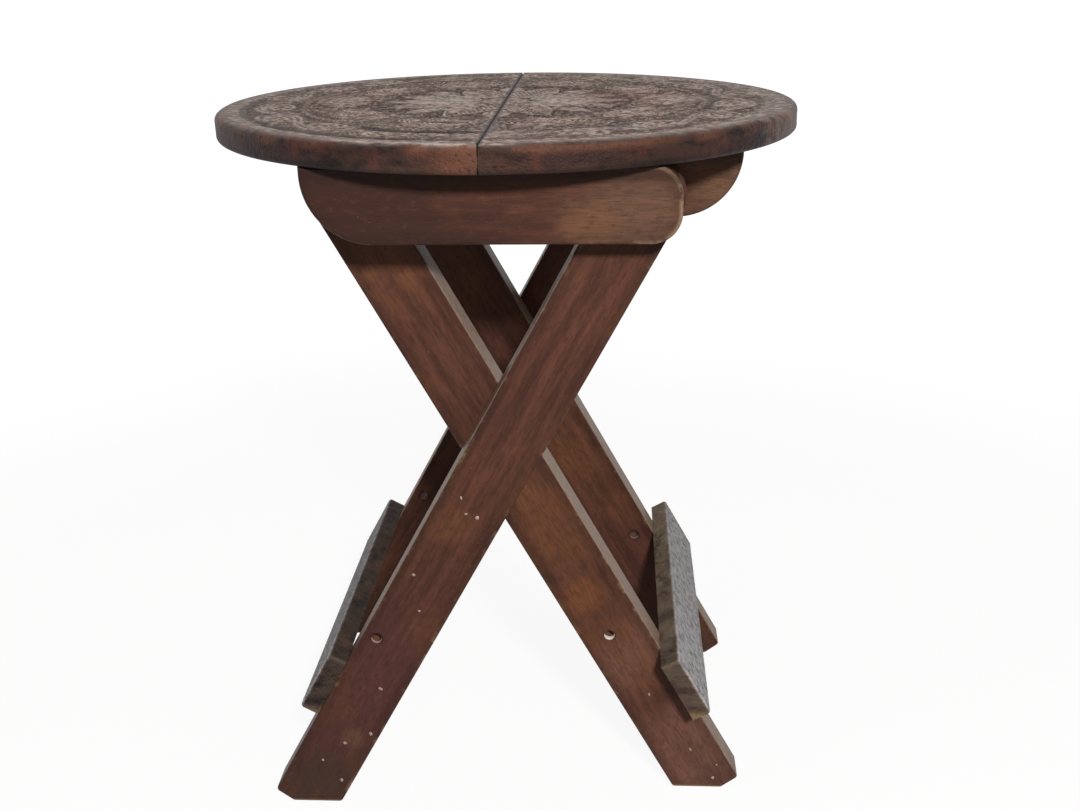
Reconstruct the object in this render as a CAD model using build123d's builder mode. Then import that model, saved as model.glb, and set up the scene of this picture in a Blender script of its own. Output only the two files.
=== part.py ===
from build123d import *
import math
import os

# Folding stool with a round top in two leather-covered halves.
# Millimetres, +Z up. The origin is on the floor, under the middle of the top.
# The seam of the top runs from front to back along Y, and the front is at -Y.
# The outer frame has its feet on the left, and the inner frame has its feet on the right.
# The left half of the top turns on the outer frame, and the right half on the inner one.

# Whole stool
top_diameter = 380.0
overall_height = 466.0
top_thickness = 17.0
leather_thickness = 1.5
seam_gap = 0.6
pivot_spacing = 187.0
foot_spacing = 283.0
frame_inset = 61.0
layer_gap = 1.5

# Edges of the top and the leather turned under it
rim_top_radius = 5.0
rim_bottom_radius = 3.5
seam_edge_radius = 1.2
lip_width = 25.0

# Legs
leg_width = 44.5
leg_thickness = 23.5
leg_arris = 1.5
toe_lift = 9.0
toe_setback = 17.0
sole_corner_radius = 3.0

# Bearers under the top
bearer_height = 46.0
bearer_thickness = 24.5
bearer_arris = 2.5
bearer_heel_radius = 41.0
bearer_nose_radius = 18.0
bearer_nose_overhang = 19.0
outer_bearer_inset = 3.0
inner_bearer_inset = 20.0

# Stretchers low on the legs
stretcher_width = 46.0
stretcher_thickness = 13.5
stretcher_up_leg = 92.0
stretcher_edge_radius = 2.0

# Pivot dowels, and the washers between the layers
dowel_diameter = 12.0
dowel_depth = 16.0
running_clearance = 0.05
dowel_end_play = 0.5
washer_diameter = 28.0
washer_play = 0.2

# Peg holes through the legs, each placed down the leg and across it
peg_hole_diameter = 6.5
peg_countersink_diameter = 9.5
outer_peg_down_leg = 345.0
outer_peg_across = 12.5
inner_front_peg_down_leg = 347.0
inner_front_peg_across = -3.5
inner_back_peg_down_leg = 367.0
inner_back_peg_across = 7.5

# Countersunk wood screws
screw_shank_diameter = 4.0
screw_head_diameter = 8.0
screw_head_height = 2.4
screw_length = 30.0
screw_tip_length = 5.0
bearer_screw_margin = 9.0
bearer_screw_count = 3
stretcher_screw_spacing = 22.0

# Flush tacks in the leather turned under the top
tack_head_diameter = 8.0
tack_head_height = 1.0
tack_shank_diameter = 1.8
tack_length = 9.0
tack_inset = 12.5
tack_spacing = 44.0

# Places worked out from the sizes above
top_radius = top_diameter / 2
underside_height = overall_height - top_thickness
board_radius = top_radius - leather_thickness
board_bottom = underside_height + leather_thickness
board_top = overall_height - leather_thickness
leather_edge = seam_gap / 2
board_edge = leather_edge + leather_thickness
lip_edge = leather_edge + lip_width
bearer_bottom = underside_height - bearer_height
pivot_height = underside_height - bearer_height / 2
pivot_x = pivot_spacing / 2
leg_slope = math.atan2((pivot_spacing + foot_spacing) / 2, pivot_height)
slope_sin = math.sin(leg_slope)
slope_cos = math.cos(leg_slope)
crossing_height = pivot_height - pivot_x * slope_cos / slope_sin
half_leg = leg_width / 2
slat_width = stretcher_width - 2 * leather_thickness
slat_thickness = stretcher_thickness - leather_thickness
glued_radius = dowel_diameter / 2
running_radius = glued_radius + running_clearance
running_depth = dowel_depth + dowel_end_play

# Layers, each given by its two distances from the middle plane of the stool.
# The outer legs stand a set distance inside the rim, and the stretchers are as long as
# the outer frame is wide.
outer_leg_far = top_radius - frame_inset
outer_leg_near = outer_leg_far - leg_thickness
inner_leg_far = outer_leg_near - layer_gap
inner_leg_near = inner_leg_far - leg_thickness
outer_bearer_near = outer_leg_far + layer_gap
outer_bearer_far = outer_bearer_near + bearer_thickness
inner_bearer_far = inner_leg_near - layer_gap
inner_bearer_near = inner_bearer_far - bearer_thickness
stretcher_length = 2 * outer_leg_far
slat_length = stretcher_length - 2 * leather_thickness

# Signs of the two sides and the two ends
LEFT, RIGHT = -1, 1
FRONT, BACK = -1, 1
side_names = {LEFT: "left", RIGHT: "right"}
end_names = {FRONT: "front", BACK: "back"}
hang_down = (Align.CENTER, Align.CENTER, Align.MAX)
stand_up = (Align.CENTER, Align.CENTER, Align.MIN)


def layer_plane(end, distance):
    """Upright plane of X and Z, at a distance from the middle towards the front or back."""
    return Plane.XZ.offset(-end * distance)


def outwards(end, depth):
    """Signed extrusion on a layer plane that runs away from the middle of the stool."""
    return -end * depth


def leg_point(lean, down_leg, across):
    """X and Z of a point of a leg, down from its top pivot and across to its outer edge."""
    x = lean * (slope_sin * down_leg + slope_cos * across - pivot_x)
    z = pivot_height - slope_cos * down_leg + slope_sin * across
    return (x, z)


def down_to(height, across):
    """Distance down a leg at which a line parallel to its axis comes to a height."""
    return (pivot_height + slope_sin * across - height) / slope_cos


def reach(distance, radius):
    """How far a circle reaches sideways at a distance from the middle plane."""
    return math.sqrt(radius**2 - distance**2)


def narrow_face_plane(lean, lift):
    """Plane over the outer narrow faces of a frame's legs, where its stretcher lies."""
    middle = down_to(0, 0) - stretcher_up_leg
    x, z = leg_point(lean, middle, half_leg + lift)
    return Plane(
        origin=(x, 0, z),
        x_dir=(lean * slope_sin, 0, -slope_cos),
        z_dir=(lean * slope_cos, 0, slope_sin),
    )


def half_outline(side, radius, edge):
    """Outline of half a disc, with its straight edge at a distance from the seam."""
    corner = reach(edge, radius)
    ThreePointArc((side * edge, -corner), (side * radius, 0), (side * edge, corner))
    Line((side * edge, corner), (side * edge, -corner))


def round_rim(piece, top_rounding, bottom_rounding):
    """Round the curved edges of a half disc."""
    fillet(piece.edges().filter_by(GeomType.CIRCLE).sort_by(Axis.Z)[-1], radius=top_rounding)
    fillet(piece.edges().filter_by(GeomType.CIRCLE).sort_by(Axis.Z)[0], radius=bottom_rounding)


def save(piece, name):
    """Label a finished piece and write it to its own file."""
    piece.part.label = name
    export_step(piece.part, f"parts/{name}.step")


def make_screws(locations):
    """Countersunk screws with flush heads, pointing down the Z axis of each location."""
    with BuildPart() as screws:
        with Locations(*locations):
            Cone(
                bottom_radius=screw_shank_diameter / 2,
                top_radius=screw_head_diameter / 2,
                height=screw_head_height,
                align=hang_down,
            )
            Cylinder(
                radius=screw_shank_diameter / 2,
                height=screw_length - screw_tip_length,
                align=hang_down,
            )
        with Locations(*[place * Pos(0, 0, -screw_length) for place in locations]):
            Cone(
                bottom_radius=0,
                top_radius=screw_shank_diameter / 2,
                height=screw_tip_length,
                align=stand_up,
            )
    return screws


os.makedirs("parts", exist_ok=True)

# Screws of the bearers, through each board between the strips of turned leather
bearer_layers = {
    LEFT: (outer_bearer_near, outer_bearer_far, outer_bearer_inset),
    RIGHT: (inner_bearer_near, inner_bearer_far, inner_bearer_inset),
}
bearer_screws = {}
for side, (near, far, inset) in bearer_layers.items():
    middle = (near + far) / 2
    first = lip_edge + bearer_screw_margin
    last = reach(middle, top_radius - lip_width) - bearer_screw_margin
    step = (last - first) / (bearer_screw_count - 1)
    places = [
        Location((side * (first + step * index), end * middle, board_top))
        for index in range(bearer_screw_count)
        for end in (FRONT, BACK)
    ]
    bearer_screws[side] = make_screws(places)
    save(bearer_screws[side], f"{side_names[side]}_bearer_screws")

# Screws of the stretchers, two into each leg of a frame
leg_layers = {
    LEFT: ("outer", outer_leg_near, outer_leg_far),
    RIGHT: ("inner", inner_leg_near, inner_leg_far),
}
stretcher_screws = {}
for side, (frame_name, near, far) in leg_layers.items():
    face = narrow_face_plane(side, slat_thickness)
    places = [
        face.location * Pos(row * stretcher_screw_spacing / 2, end * (near + far) / 2, 0)
        for row in (-1, 1)
        for end in (FRONT, BACK)
    ]
    stretcher_screws[side] = make_screws(places)
    save(stretcher_screws[side], f"{frame_name}_stretcher_screws")

# Legs: a frame's feet are on the side that names it here
legs = {
    "outer_front_leg": (LEFT, FRONT, outer_peg_down_leg, outer_peg_across),
    "outer_back_leg": (LEFT, BACK, outer_peg_down_leg, outer_peg_across),
    "inner_front_leg": (RIGHT, FRONT, inner_front_peg_down_leg, inner_front_peg_across),
    "inner_back_leg": (RIGHT, BACK, inner_back_peg_down_leg, inner_back_peg_across),
}
for name, (side, end, peg_down_leg, peg_across) in legs.items():
    frame_name, near, far = leg_layers[side]
    outer_shoulder = leg_point(side, 0, half_leg)
    crown = leg_point(side, -half_leg, 0)
    inner_shoulder = leg_point(side, 0, -half_leg)
    toe = leg_point(side, down_to(toe_lift, half_leg), half_leg)
    sharp_toe = leg_point(side, down_to(0, half_leg), half_leg)
    heel = leg_point(side, down_to(0, -half_leg), -half_leg)
    peg = leg_point(side, peg_down_leg, peg_across)
    with BuildPart() as leg:
        with BuildSketch(layer_plane(end, near)):
            with BuildLine():
                ThreePointArc(inner_shoulder, crown, outer_shoulder)
                FilletPolyline(
                    outer_shoulder,
                    toe,
                    (sharp_toe[0] - side * toe_setback, 0),
                    heel,
                    inner_shoulder,
                    radius=[sole_corner_radius, sole_corner_radius, sole_corner_radius],
                )
            make_face()
        extrude(amount=outwards(end, leg_thickness))
        fillet(leg.faces().filter_by(Axis.Y).edges(), radius=leg_arris)
        # Blind holes of the crossing dowel and of the dowel at the top
        if frame_name == "outer":
            holes = [
                ((0, crossing_height), outer_leg_near, dowel_depth, glued_radius),
                (leg_point(side, 0, 0), outer_leg_far, -dowel_depth, glued_radius),
            ]
        else:
            holes = [
                ((0, crossing_height), inner_leg_far, -running_depth, running_radius),
                (leg_point(side, 0, 0), inner_leg_near, dowel_depth, glued_radius),
            ]
        for place, start, depth, radius in holes:
            with BuildSketch(layer_plane(end, start)):
                with Locations(place):
                    Circle(radius)
            extrude(amount=outwards(end, depth), mode=Mode.SUBTRACT)
        # Peg hole, countersunk on both faces
        for distance, facing in ((far, end), (near, -end)):
            mouth = Plane(origin=(peg[0], end * distance, peg[1]), z_dir=(0, facing, 0))
            with Locations(mouth):
                CounterSinkHole(
                    radius=peg_hole_diameter / 2,
                    counter_sink_radius=peg_countersink_diameter / 2,
                    depth=leg_thickness,
                )
        add(stretcher_screws[side].part, mode=Mode.SUBTRACT)
    save(leg, name)

# Stretchers: a slat in a tray of leather, open towards the legs
for side, (frame_name, *_) in leg_layers.items():
    with BuildPart() as slat:
        with BuildSketch(narrow_face_plane(side, 0)):
            Rectangle(slat_width, slat_length)
        extrude(amount=slat_thickness)
        add(stretcher_screws[side].part, mode=Mode.SUBTRACT)
    save(slat, f"{frame_name}_stretcher_slat")
    with BuildPart() as wrap:
        with BuildSketch(narrow_face_plane(side, 0)):
            Rectangle(stretcher_width, stretcher_length)
        extrude(amount=stretcher_thickness)
        outer_face = wrap.faces().sort_by(Axis((0, 0, 0), narrow_face_plane(side, 0).z_dir))[-1]
        fillet(outer_face.edges(), radius=stretcher_edge_radius)
        with BuildSketch(narrow_face_plane(side, 0)):
            Rectangle(slat_width, slat_length)
        extrude(amount=slat_thickness, mode=Mode.SUBTRACT)
    save(wrap, f"{frame_name}_stretcher_leather")

# Dowels and washers at the crossing and at the two pairs of top pivots
pivots = {
    "crossing": ((0, crossing_height), inner_leg_far, outer_leg_near, BACK),
    "left_top": (leg_point(LEFT, 0, 0), outer_leg_far, outer_bearer_near, FRONT),
    "right_top": (leg_point(RIGHT, 0, 0), inner_bearer_far, inner_leg_near, BACK),
}
for name, (place, gap_near, gap_far, glued_side) in pivots.items():
    with BuildPart() as dowels:
        for end in (FRONT, BACK):
            with BuildSketch(layer_plane(end, gap_near - dowel_depth)):
                with Locations(place):
                    Circle(glued_radius)
            extrude(amount=outwards(end, gap_far - gap_near + 2 * dowel_depth))
    save(dowels, f"{name}_dowels")
    # The washer lies against the leg that the dowel is glued into
    washer_thickness = layer_gap - washer_play
    washer_start = gap_near if glued_side == FRONT else gap_far - washer_thickness
    with BuildPart() as washers:
        for end in (FRONT, BACK):
            with BuildSketch(layer_plane(end, washer_start)):
                with Locations(place):
                    Circle(washer_diameter / 2)
                    Circle(running_radius, mode=Mode.SUBTRACT)
            extrude(amount=outwards(end, washer_thickness))
    save(washers, f"{name}_washers")

# Bearers: the heel is fixed under its own half, and the nose turns on a leg
for side, (near, far, inset) in bearer_layers.items():
    heel_x = side * (reach(far, top_radius) - inset)
    nose_x = -side * (pivot_x + bearer_nose_overhang)
    hole_start, hole_depth = {
        LEFT: (outer_bearer_near, running_depth),
        RIGHT: (inner_bearer_far, -running_depth),
    }[side]
    for end in (FRONT, BACK):
        with BuildPart() as bearer:
            with BuildSketch(layer_plane(end, near)):
                with BuildLine():
                    FilletPolyline(
                        (heel_x, underside_height),
                        (nose_x, underside_height),
                        (nose_x, bearer_bottom),
                        (heel_x, bearer_bottom),
                        radius=[0, bearer_nose_radius, bearer_nose_radius, bearer_heel_radius],
                        close=True,
                    )
                make_face()
            extrude(amount=outwards(end, bearer_thickness))
            fillet(bearer.faces().filter_by(Axis.Y).edges(), radius=bearer_arris)
            with BuildSketch(layer_plane(end, hole_start)):
                with Locations((-side * pivot_x, pivot_height)):
                    Circle(running_radius)
            extrude(amount=outwards(end, hole_depth), mode=Mode.SUBTRACT)
            add(bearer_screws[side].part, mode=Mode.SUBTRACT)
        save(bearer, f"{side_names[side]}_{end_names[end]}_bearer")

# Halves of the top: a board with leather over it, turned under its edges
lip_radius = top_radius - lip_width
tack_radius = top_radius - tack_inset
tack_line = leather_edge + tack_inset
for side, side_name in side_names.items():
    # Tacks in one row along the straight edge and one round the rim
    seam_half = reach(tack_line, tack_radius) - tack_inset
    seam_steps = round(2 * seam_half / tack_spacing)
    seam_places = [
        (side * tack_line, seam_half * (2 * index / seam_steps - 1)) for index in range(seam_steps + 1)
    ]
    sweep = 2 * math.acos((tack_line + tack_inset) / tack_radius)
    rim_steps = round(sweep * tack_radius / tack_spacing)
    rim_angles = [sweep * (index / rim_steps - 1 / 2) for index in range(rim_steps + 1)]
    rim_places = [
        (side * tack_radius * math.cos(angle), tack_radius * math.sin(angle)) for angle in rim_angles
    ]
    with BuildPart() as tacks:
        for diameter, height in (
            (tack_head_diameter, tack_head_height),
            (tack_shank_diameter, tack_length),
        ):
            with BuildSketch(Plane.XY.offset(underside_height)):
                with Locations(*seam_places, *rim_places):
                    Circle(diameter / 2)
            extrude(amount=height)
    save(tacks, f"{side_name}_leather_tacks")

    # Plain board, before its holes
    with BuildPart() as blank:
        with BuildSketch(Plane.XY.offset(board_bottom)):
            with BuildLine():
                half_outline(side, board_radius, board_edge)
            make_face()
        extrude(amount=board_top - board_bottom)
        round_rim(blank, rim_top_radius - leather_thickness, rim_bottom_radius - leather_thickness)

    with BuildPart() as board:
        add(blank.part)
        add(bearer_screws[side].part, mode=Mode.SUBTRACT)
        add(tacks.part, mode=Mode.SUBTRACT)
    save(board, f"{side_name}_top_board")

    with BuildPart() as leather:
        with BuildSketch(Plane.XY.offset(underside_height)):
            with BuildLine():
                half_outline(side, top_radius, leather_edge)
            make_face()
        extrude(amount=top_thickness)
        round_rim(leather, rim_top_radius, rim_bottom_radius)
        seam_line = leather.edges().filter_by(Axis.Y).group_by(Axis.Z)[-1]
        fillet(seam_line, radius=seam_edge_radius)
        add(blank.part, mode=Mode.SUBTRACT)
        with BuildSketch(Plane.XY.offset(underside_height)):
            with BuildLine():
                half_outline(side, lip_radius, lip_edge)
            make_face()
        extrude(amount=leather_thickness, mode=Mode.SUBTRACT)
        add(tacks.part, mode=Mode.SUBTRACT)
    save(leather, f"{side_name}_top_leather")
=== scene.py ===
"""Looks of a round folding stool: a tooled leather top in two halves on crossed wooden legs."""

from __future__ import annotations

import logging
import math
from dataclasses import dataclass, field, replace
from enum import Enum
from typing import Any

import bpy
import numpy as np
from mathutils import Matrix, Vector


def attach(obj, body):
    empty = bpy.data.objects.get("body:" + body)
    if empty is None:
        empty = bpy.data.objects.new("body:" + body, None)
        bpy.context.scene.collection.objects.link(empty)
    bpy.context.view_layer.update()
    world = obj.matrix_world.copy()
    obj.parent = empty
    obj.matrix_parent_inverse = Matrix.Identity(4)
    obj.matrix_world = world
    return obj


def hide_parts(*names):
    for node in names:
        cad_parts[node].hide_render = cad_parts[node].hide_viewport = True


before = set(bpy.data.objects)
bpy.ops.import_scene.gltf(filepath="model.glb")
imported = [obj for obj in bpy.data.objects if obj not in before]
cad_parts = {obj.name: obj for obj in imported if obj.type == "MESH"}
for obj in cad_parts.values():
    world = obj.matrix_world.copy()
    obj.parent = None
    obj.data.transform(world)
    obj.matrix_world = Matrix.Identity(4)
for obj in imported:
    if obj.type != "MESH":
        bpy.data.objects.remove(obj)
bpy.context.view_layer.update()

MM = 0.001
Colour = tuple[float, float, float, float]
Point = tuple[float, float, float]
log = logging.getLogger("stool")


def paint(*levels: float) -> Colour:
    """Turn a colour as it is seen on a screen, 0 to 255, into the one that a shader takes."""
    red, green, blue = (
        level / 12.92 if level <= 0.04045 else ((level + 0.055) / 1.055) ** 2.4
        for level in (level / 255 for level in levels)
    )
    return (red, green, blue, 1.0)


def place(name: str, data: bpy.types.ID) -> bpy.types.Object:
    """Put an object with its mesh, camera or lamp in the scene."""
    made = bpy.data.objects.new(name, data)
    bpy.context.scene.collection.objects.link(made)
    return made


# Node trees


class Wire:
    """An output of a node tree. Sums and products of wires add Math nodes to the tree."""

    def __init__(self, graph: Graph, socket: bpy.types.NodeSocket) -> None:
        """Hold the socket and the tree that it belongs to."""
        self.graph = graph
        self.socket = socket

    def __add__(self, other: Wire | float) -> Wire:
        """Sum of two values."""
        return self.graph.maths("ADD", self, other)

    __radd__ = __add__

    def __sub__(self, other: Wire | float) -> Wire:
        """This value less another."""
        return self.graph.maths("SUBTRACT", self, other)

    def __rsub__(self, other: Wire | float) -> Wire:
        """Another value less this one."""
        return self.graph.maths("SUBTRACT", other, self)

    def __mul__(self, other: Wire | float) -> Wire:
        """Product of two values."""
        return self.graph.maths("MULTIPLY", self, other)

    __rmul__ = __mul__

    def __truediv__(self, other: Wire | float) -> Wire:
        """This value over another."""
        return self.graph.maths("DIVIDE", self, other)

    def __abs__(self) -> Wire:
        """Size of the value without its sign."""
        return self.graph.maths("ABSOLUTE", self)

    def least(self, other: Wire | float) -> Wire:
        """The smaller of two values."""
        return self.graph.maths("MINIMUM", self, other)

    def most(self, other: Wire | float) -> Wire:
        """The larger of two values."""
        return self.graph.maths("MAXIMUM", self, other)

    def rise(self, low: float, high: float) -> Wire:
        """Smooth step from 0 at the low value to 1 at the high one."""
        return self.graph.node(
            "ShaderNodeMapRange",
            {"interpolation_type": "SMOOTHSTEP", "clamp": True},
            {"Value": self, "From Min": low, "From Max": high},
        )

    def part(self, name: str) -> Wire:
        """Another output of the node that this wire comes from."""
        return Wire(self.graph, self.socket.node.outputs[name])


class Graph:
    """A node tree that is built by calls, for a material or for geometry."""

    def __init__(self, tree: bpy.types.NodeTree) -> None:
        """Hold the tree."""
        self.tree = tree

    def node(
        self,
        kind: str,
        settings: dict[str, Any] | None = None,
        inputs: dict[str | int, Any] | None = None,
        output: int | str = 0,
    ) -> Wire:
        """Add one node.

        Args:
            kind: Blender's name of the node's type.
            settings: Properties of the node, set first.
            inputs: A value or a wire for each socket, by name or number.
            output: The output that is handed back.

        Returns:
            The wire of that output.
        """
        made = self.tree.nodes.new(kind)
        for name, value in (settings or {}).items():
            setattr(made, name, value)
        for key, value in (inputs or {}).items():
            self.feed(made.inputs[key], value)
        return Wire(self, made.outputs[output]) if made.outputs else Wire(self, made.inputs[0])

    def feed(self, socket: bpy.types.NodeSocket, value: Any) -> None:
        """Link a wire to a socket, or set its value."""
        if isinstance(value, Wire):
            self.tree.links.new(value.socket, socket)
        else:
            socket.default_value = value

    def maths(self, operation: str, first: Wire | float, second: Wire | float = 0.0) -> Wire:
        """Add one Math node on two values."""
        return self.node("ShaderNodeMath", {"operation": operation}, {0: first, 1: second})

    def vector(self, operation: str, first: Any, second: Any) -> Wire:
        """Add one Vector Math node on two vectors."""
        return self.node("ShaderNodeVectorMath", {"operation": operation}, {0: first, 1: second})

    def noise(self, place: Wire, scale: float, detail: float = 3.0, rough: float = 0.55) -> Wire:
        """Add a noise of a scale in features per metre, or per unit of a stretched place."""
        return self.node(
            "ShaderNodeTexNoise",
            {"noise_dimensions": "3D"},
            {"Vector": place, "Scale": scale, "Detail": detail, "Roughness": rough},
            "Fac",
        )

    def blend(self, amount: Wire | float, first: Any, second: Any) -> Wire:
        """Mix two colours by an amount."""
        return self.node(
            "ShaderNodeMix",
            {"data_type": "RGBA", "clamp_factor": True},
            {0: amount, 6: first, 7: second},
            2,
        )

    def split(self, vector: Wire) -> tuple[Wire, Wire, Wire]:
        """X, Y and Z of a vector."""
        axes = self.node("ShaderNodeSeparateXYZ", None, {0: vector})
        return axes.part("X"), axes.part("Y"), axes.part("Z")

    def length(self, first: Wire, second: Wire) -> Wire:
        """Length of a step of two parts at right angles."""
        return self.maths("SQRT", first * first + second * second)


class Surface(Graph):
    """The node tree of a material, with its shader ready to be fed and its colour so far."""

    def __init__(self, name: str, **constants: float) -> None:
        """Start a material.

        Args:
            name: Name of the material.
            constants: Values set on the shader's own sockets, with _ for each space.
        """
        self.material = bpy.data.materials.new(name)
        self.material.use_nodes = True
        super().__init__(self.material.node_tree)
        self.tree.nodes.clear()
        values = {key.replace("_", " "): value for key, value in constants.items()}
        shader = self.node("ShaderNodeBsdfPrincipled", None, values)
        self.node("ShaderNodeOutputMaterial", None, {0: shader})
        self.sockets = shader.socket.node.inputs
        self.place = self.node("ShaderNodeTexCoord", output="Object")
        self.colour: Any = None

    def lay(self, amount: Wire | float, colour: Any) -> None:
        """Lay another colour over the colour so far, by an amount."""
        self.colour = self.blend(amount, self.colour, colour)

    def turned(self, centre: Point, about_y: float) -> Wire:
        """Coordinates in a member's own axes, from its centre, in metres."""
        return self.node(
            "ShaderNodeMapping",
            {"vector_type": "TEXTURE"},
            {"Vector": self.place, "Location": centre, "Rotation": (0.0, about_y, 0.0)},
        )

    def streaks(
        self, place: Wire, scales: Point, detail: float = 3.0, rough: float = 0.55
    ) -> Wire:
        """Add a noise with a scale of its own, in features per metre, along each axis."""
        return self.noise(self.vector("MULTIPLY", place, scales), 1.0, detail, rough)

    def cells(self, place: Wire, scale: float) -> Wire:
        """Distance from the middle of the nearest cell, 0 to 1, for pores and punched dots."""
        return self.node(
            "ShaderNodeTexVoronoi",
            {"feature": "F1"},
            {"Vector": place, "Scale": scale},
            "Distance",
        )

    def attribute(self, name: str) -> Wire:
        """A value that the mesh carries at its points."""
        return self.node("ShaderNodeAttribute", {"attribute_name": name}, output="Fac")

    def spot(self, spots: tuple[Stain, ...], first: Wire, second: Wire, ragged: Wire) -> None:
        """Lay soft spots of other tones over the colour so far.

        Args:
            spots: The spots, each placed on two axes.
            first: The object's own axis that their first place is on.
            second: The axis that their second place is on.
            ragged: A noise that breaks up their edges.
        """
        for spot in spots:
            away = self.length(first - spot.first, second - spot.second)
            away = away + (ragged - 0.5) * (spot.reach * 1.6)
            share = (1 - away.rise(spot.reach * 0.25, spot.reach)) * spot.strength
            self.lay(share, spot.colour)

    def finish(
        self, roughness: Wire | float, height: Wire, strength: float, depth: float
    ) -> bpy.types.Material:
        """Feed the shader with the colour so far and the rest.

        Args:
            roughness: Roughness.
            height: Height of the fine relief, from 0 to 1.
            strength: Strength of the bump.
            depth: Depth of the relief in metres.

        Returns:
            The finished material.
        """
        bump = {"Strength": strength, "Distance": depth, "Height": height}
        self.feed(self.sockets["Base Color"], self.colour)
        self.feed(self.sockets["Roughness"], roughness)
        self.feed(self.sockets["Normal"], self.node("ShaderNodeBump", None, bump))
        return self.material


class Pattern(Graph):
    """A Geometry Nodes tree that sets out repeated pieces."""

    def __init__(self, name: str) -> None:
        """Start a tree with its geometry input, the carrier, and its output."""
        super().__init__(bpy.data.node_groups.new(name, "GeometryNodeTree"))
        self.names: dict[str, str] = {}
        interface = self.tree.interface
        interface.new_socket("Geometry", in_out="INPUT", socket_type="NodeSocketGeometry")
        interface.new_socket("Geometry", in_out="OUTPUT", socket_type="NodeSocketGeometry")
        self.carried = self.node("NodeGroupInput", output="Geometry")

    def entry(self, name: str, kind: str = "Float") -> Wire:
        """Add a named input of the tree and hand back its wire."""
        socket = self.tree.interface.new_socket(
            name, in_out="INPUT", socket_type=f"NodeSocket{kind}"
        )
        self.names[name] = socket.identifier
        return self.carried.part(name)

    def random(self, low: Any, high: Any, seed: Wire, index: Wire | None = None) -> Wire:
        """A random number or vector for each copy.

        Args:
            low: Least value; three numbers give a vector.
            high: Greatest value.
            seed: Seed of the draw.
            index: Number that a copy is drawn by, where it isn't the point's own.

        Returns:
            The wire of the drawn value.
        """
        vector = isinstance(low, tuple)
        inputs = {0: low, 1: high} if vector else {2: low, 3: high}
        inputs = {**inputs, "Seed": seed, **({} if index is None else {"ID": index})}
        kind = {"data_type": "FLOAT_VECTOR" if vector else "FLOAT"}
        return self.node("FunctionNodeRandomValue", kind, inputs, 0 if vector else 1)

    def turn(self, angles: dict[int, Wire]) -> Wire:
        """A rotation from the angles about some of the axes, by the axis's number."""
        euler = self.node("ShaderNodeCombineXYZ", None, angles)
        return self.node("FunctionNodeEulerToRotation", None, {0: euler})

    def close(self, points: Wire, shape: Wire, rotation: Wire, size: Wire) -> None:
        """End the tree: copies of a shape are set on points, made real and given the material."""
        copied = self.node("GeometryNodeObjectInfo", None, {"Object": shape}, "Geometry")
        copies = self.node(
            "GeometryNodeInstanceOnPoints",
            None,
            {"Points": points, "Instance": copied, "Rotation": rotation, "Scale": size},
        )
        real = self.node("GeometryNodeRealizeInstances", None, {"Geometry": copies})
        dressed = self.node(
            "GeometryNodeSetMaterial",
            None,
            {"Geometry": real, "Material": self.entry("Material", "Material")},
        )
        self.node("NodeGroupOutput", None, {"Geometry": dressed})

    def grow(self, name: str, carrier: bpy.types.Mesh, values: dict[str, Any]) -> bpy.types.Object:
        """Run the tree on a mesh and keep the result as a plain mesh.

        Args:
            name: Name of the new piece.
            carrier: Mesh of points or edges that the tree starts from.
            values: A value for each named input.

        Returns:
            The new piece, with no modifier left on it.
        """
        piece = place(name, carrier)
        modifier = piece.modifiers.new("pattern", "NODES")
        modifier.node_group = self.tree
        for key, value in values.items():
            modifier[self.names[key]] = value
        seen = piece.evaluated_get(bpy.context.evaluated_depsgraph_get())
        mesh = bpy.data.meshes.new_from_object(seen)
        piece.modifiers.clear()
        piece.data = mesh
        mesh.name = name
        return piece


# Meshes


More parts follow.
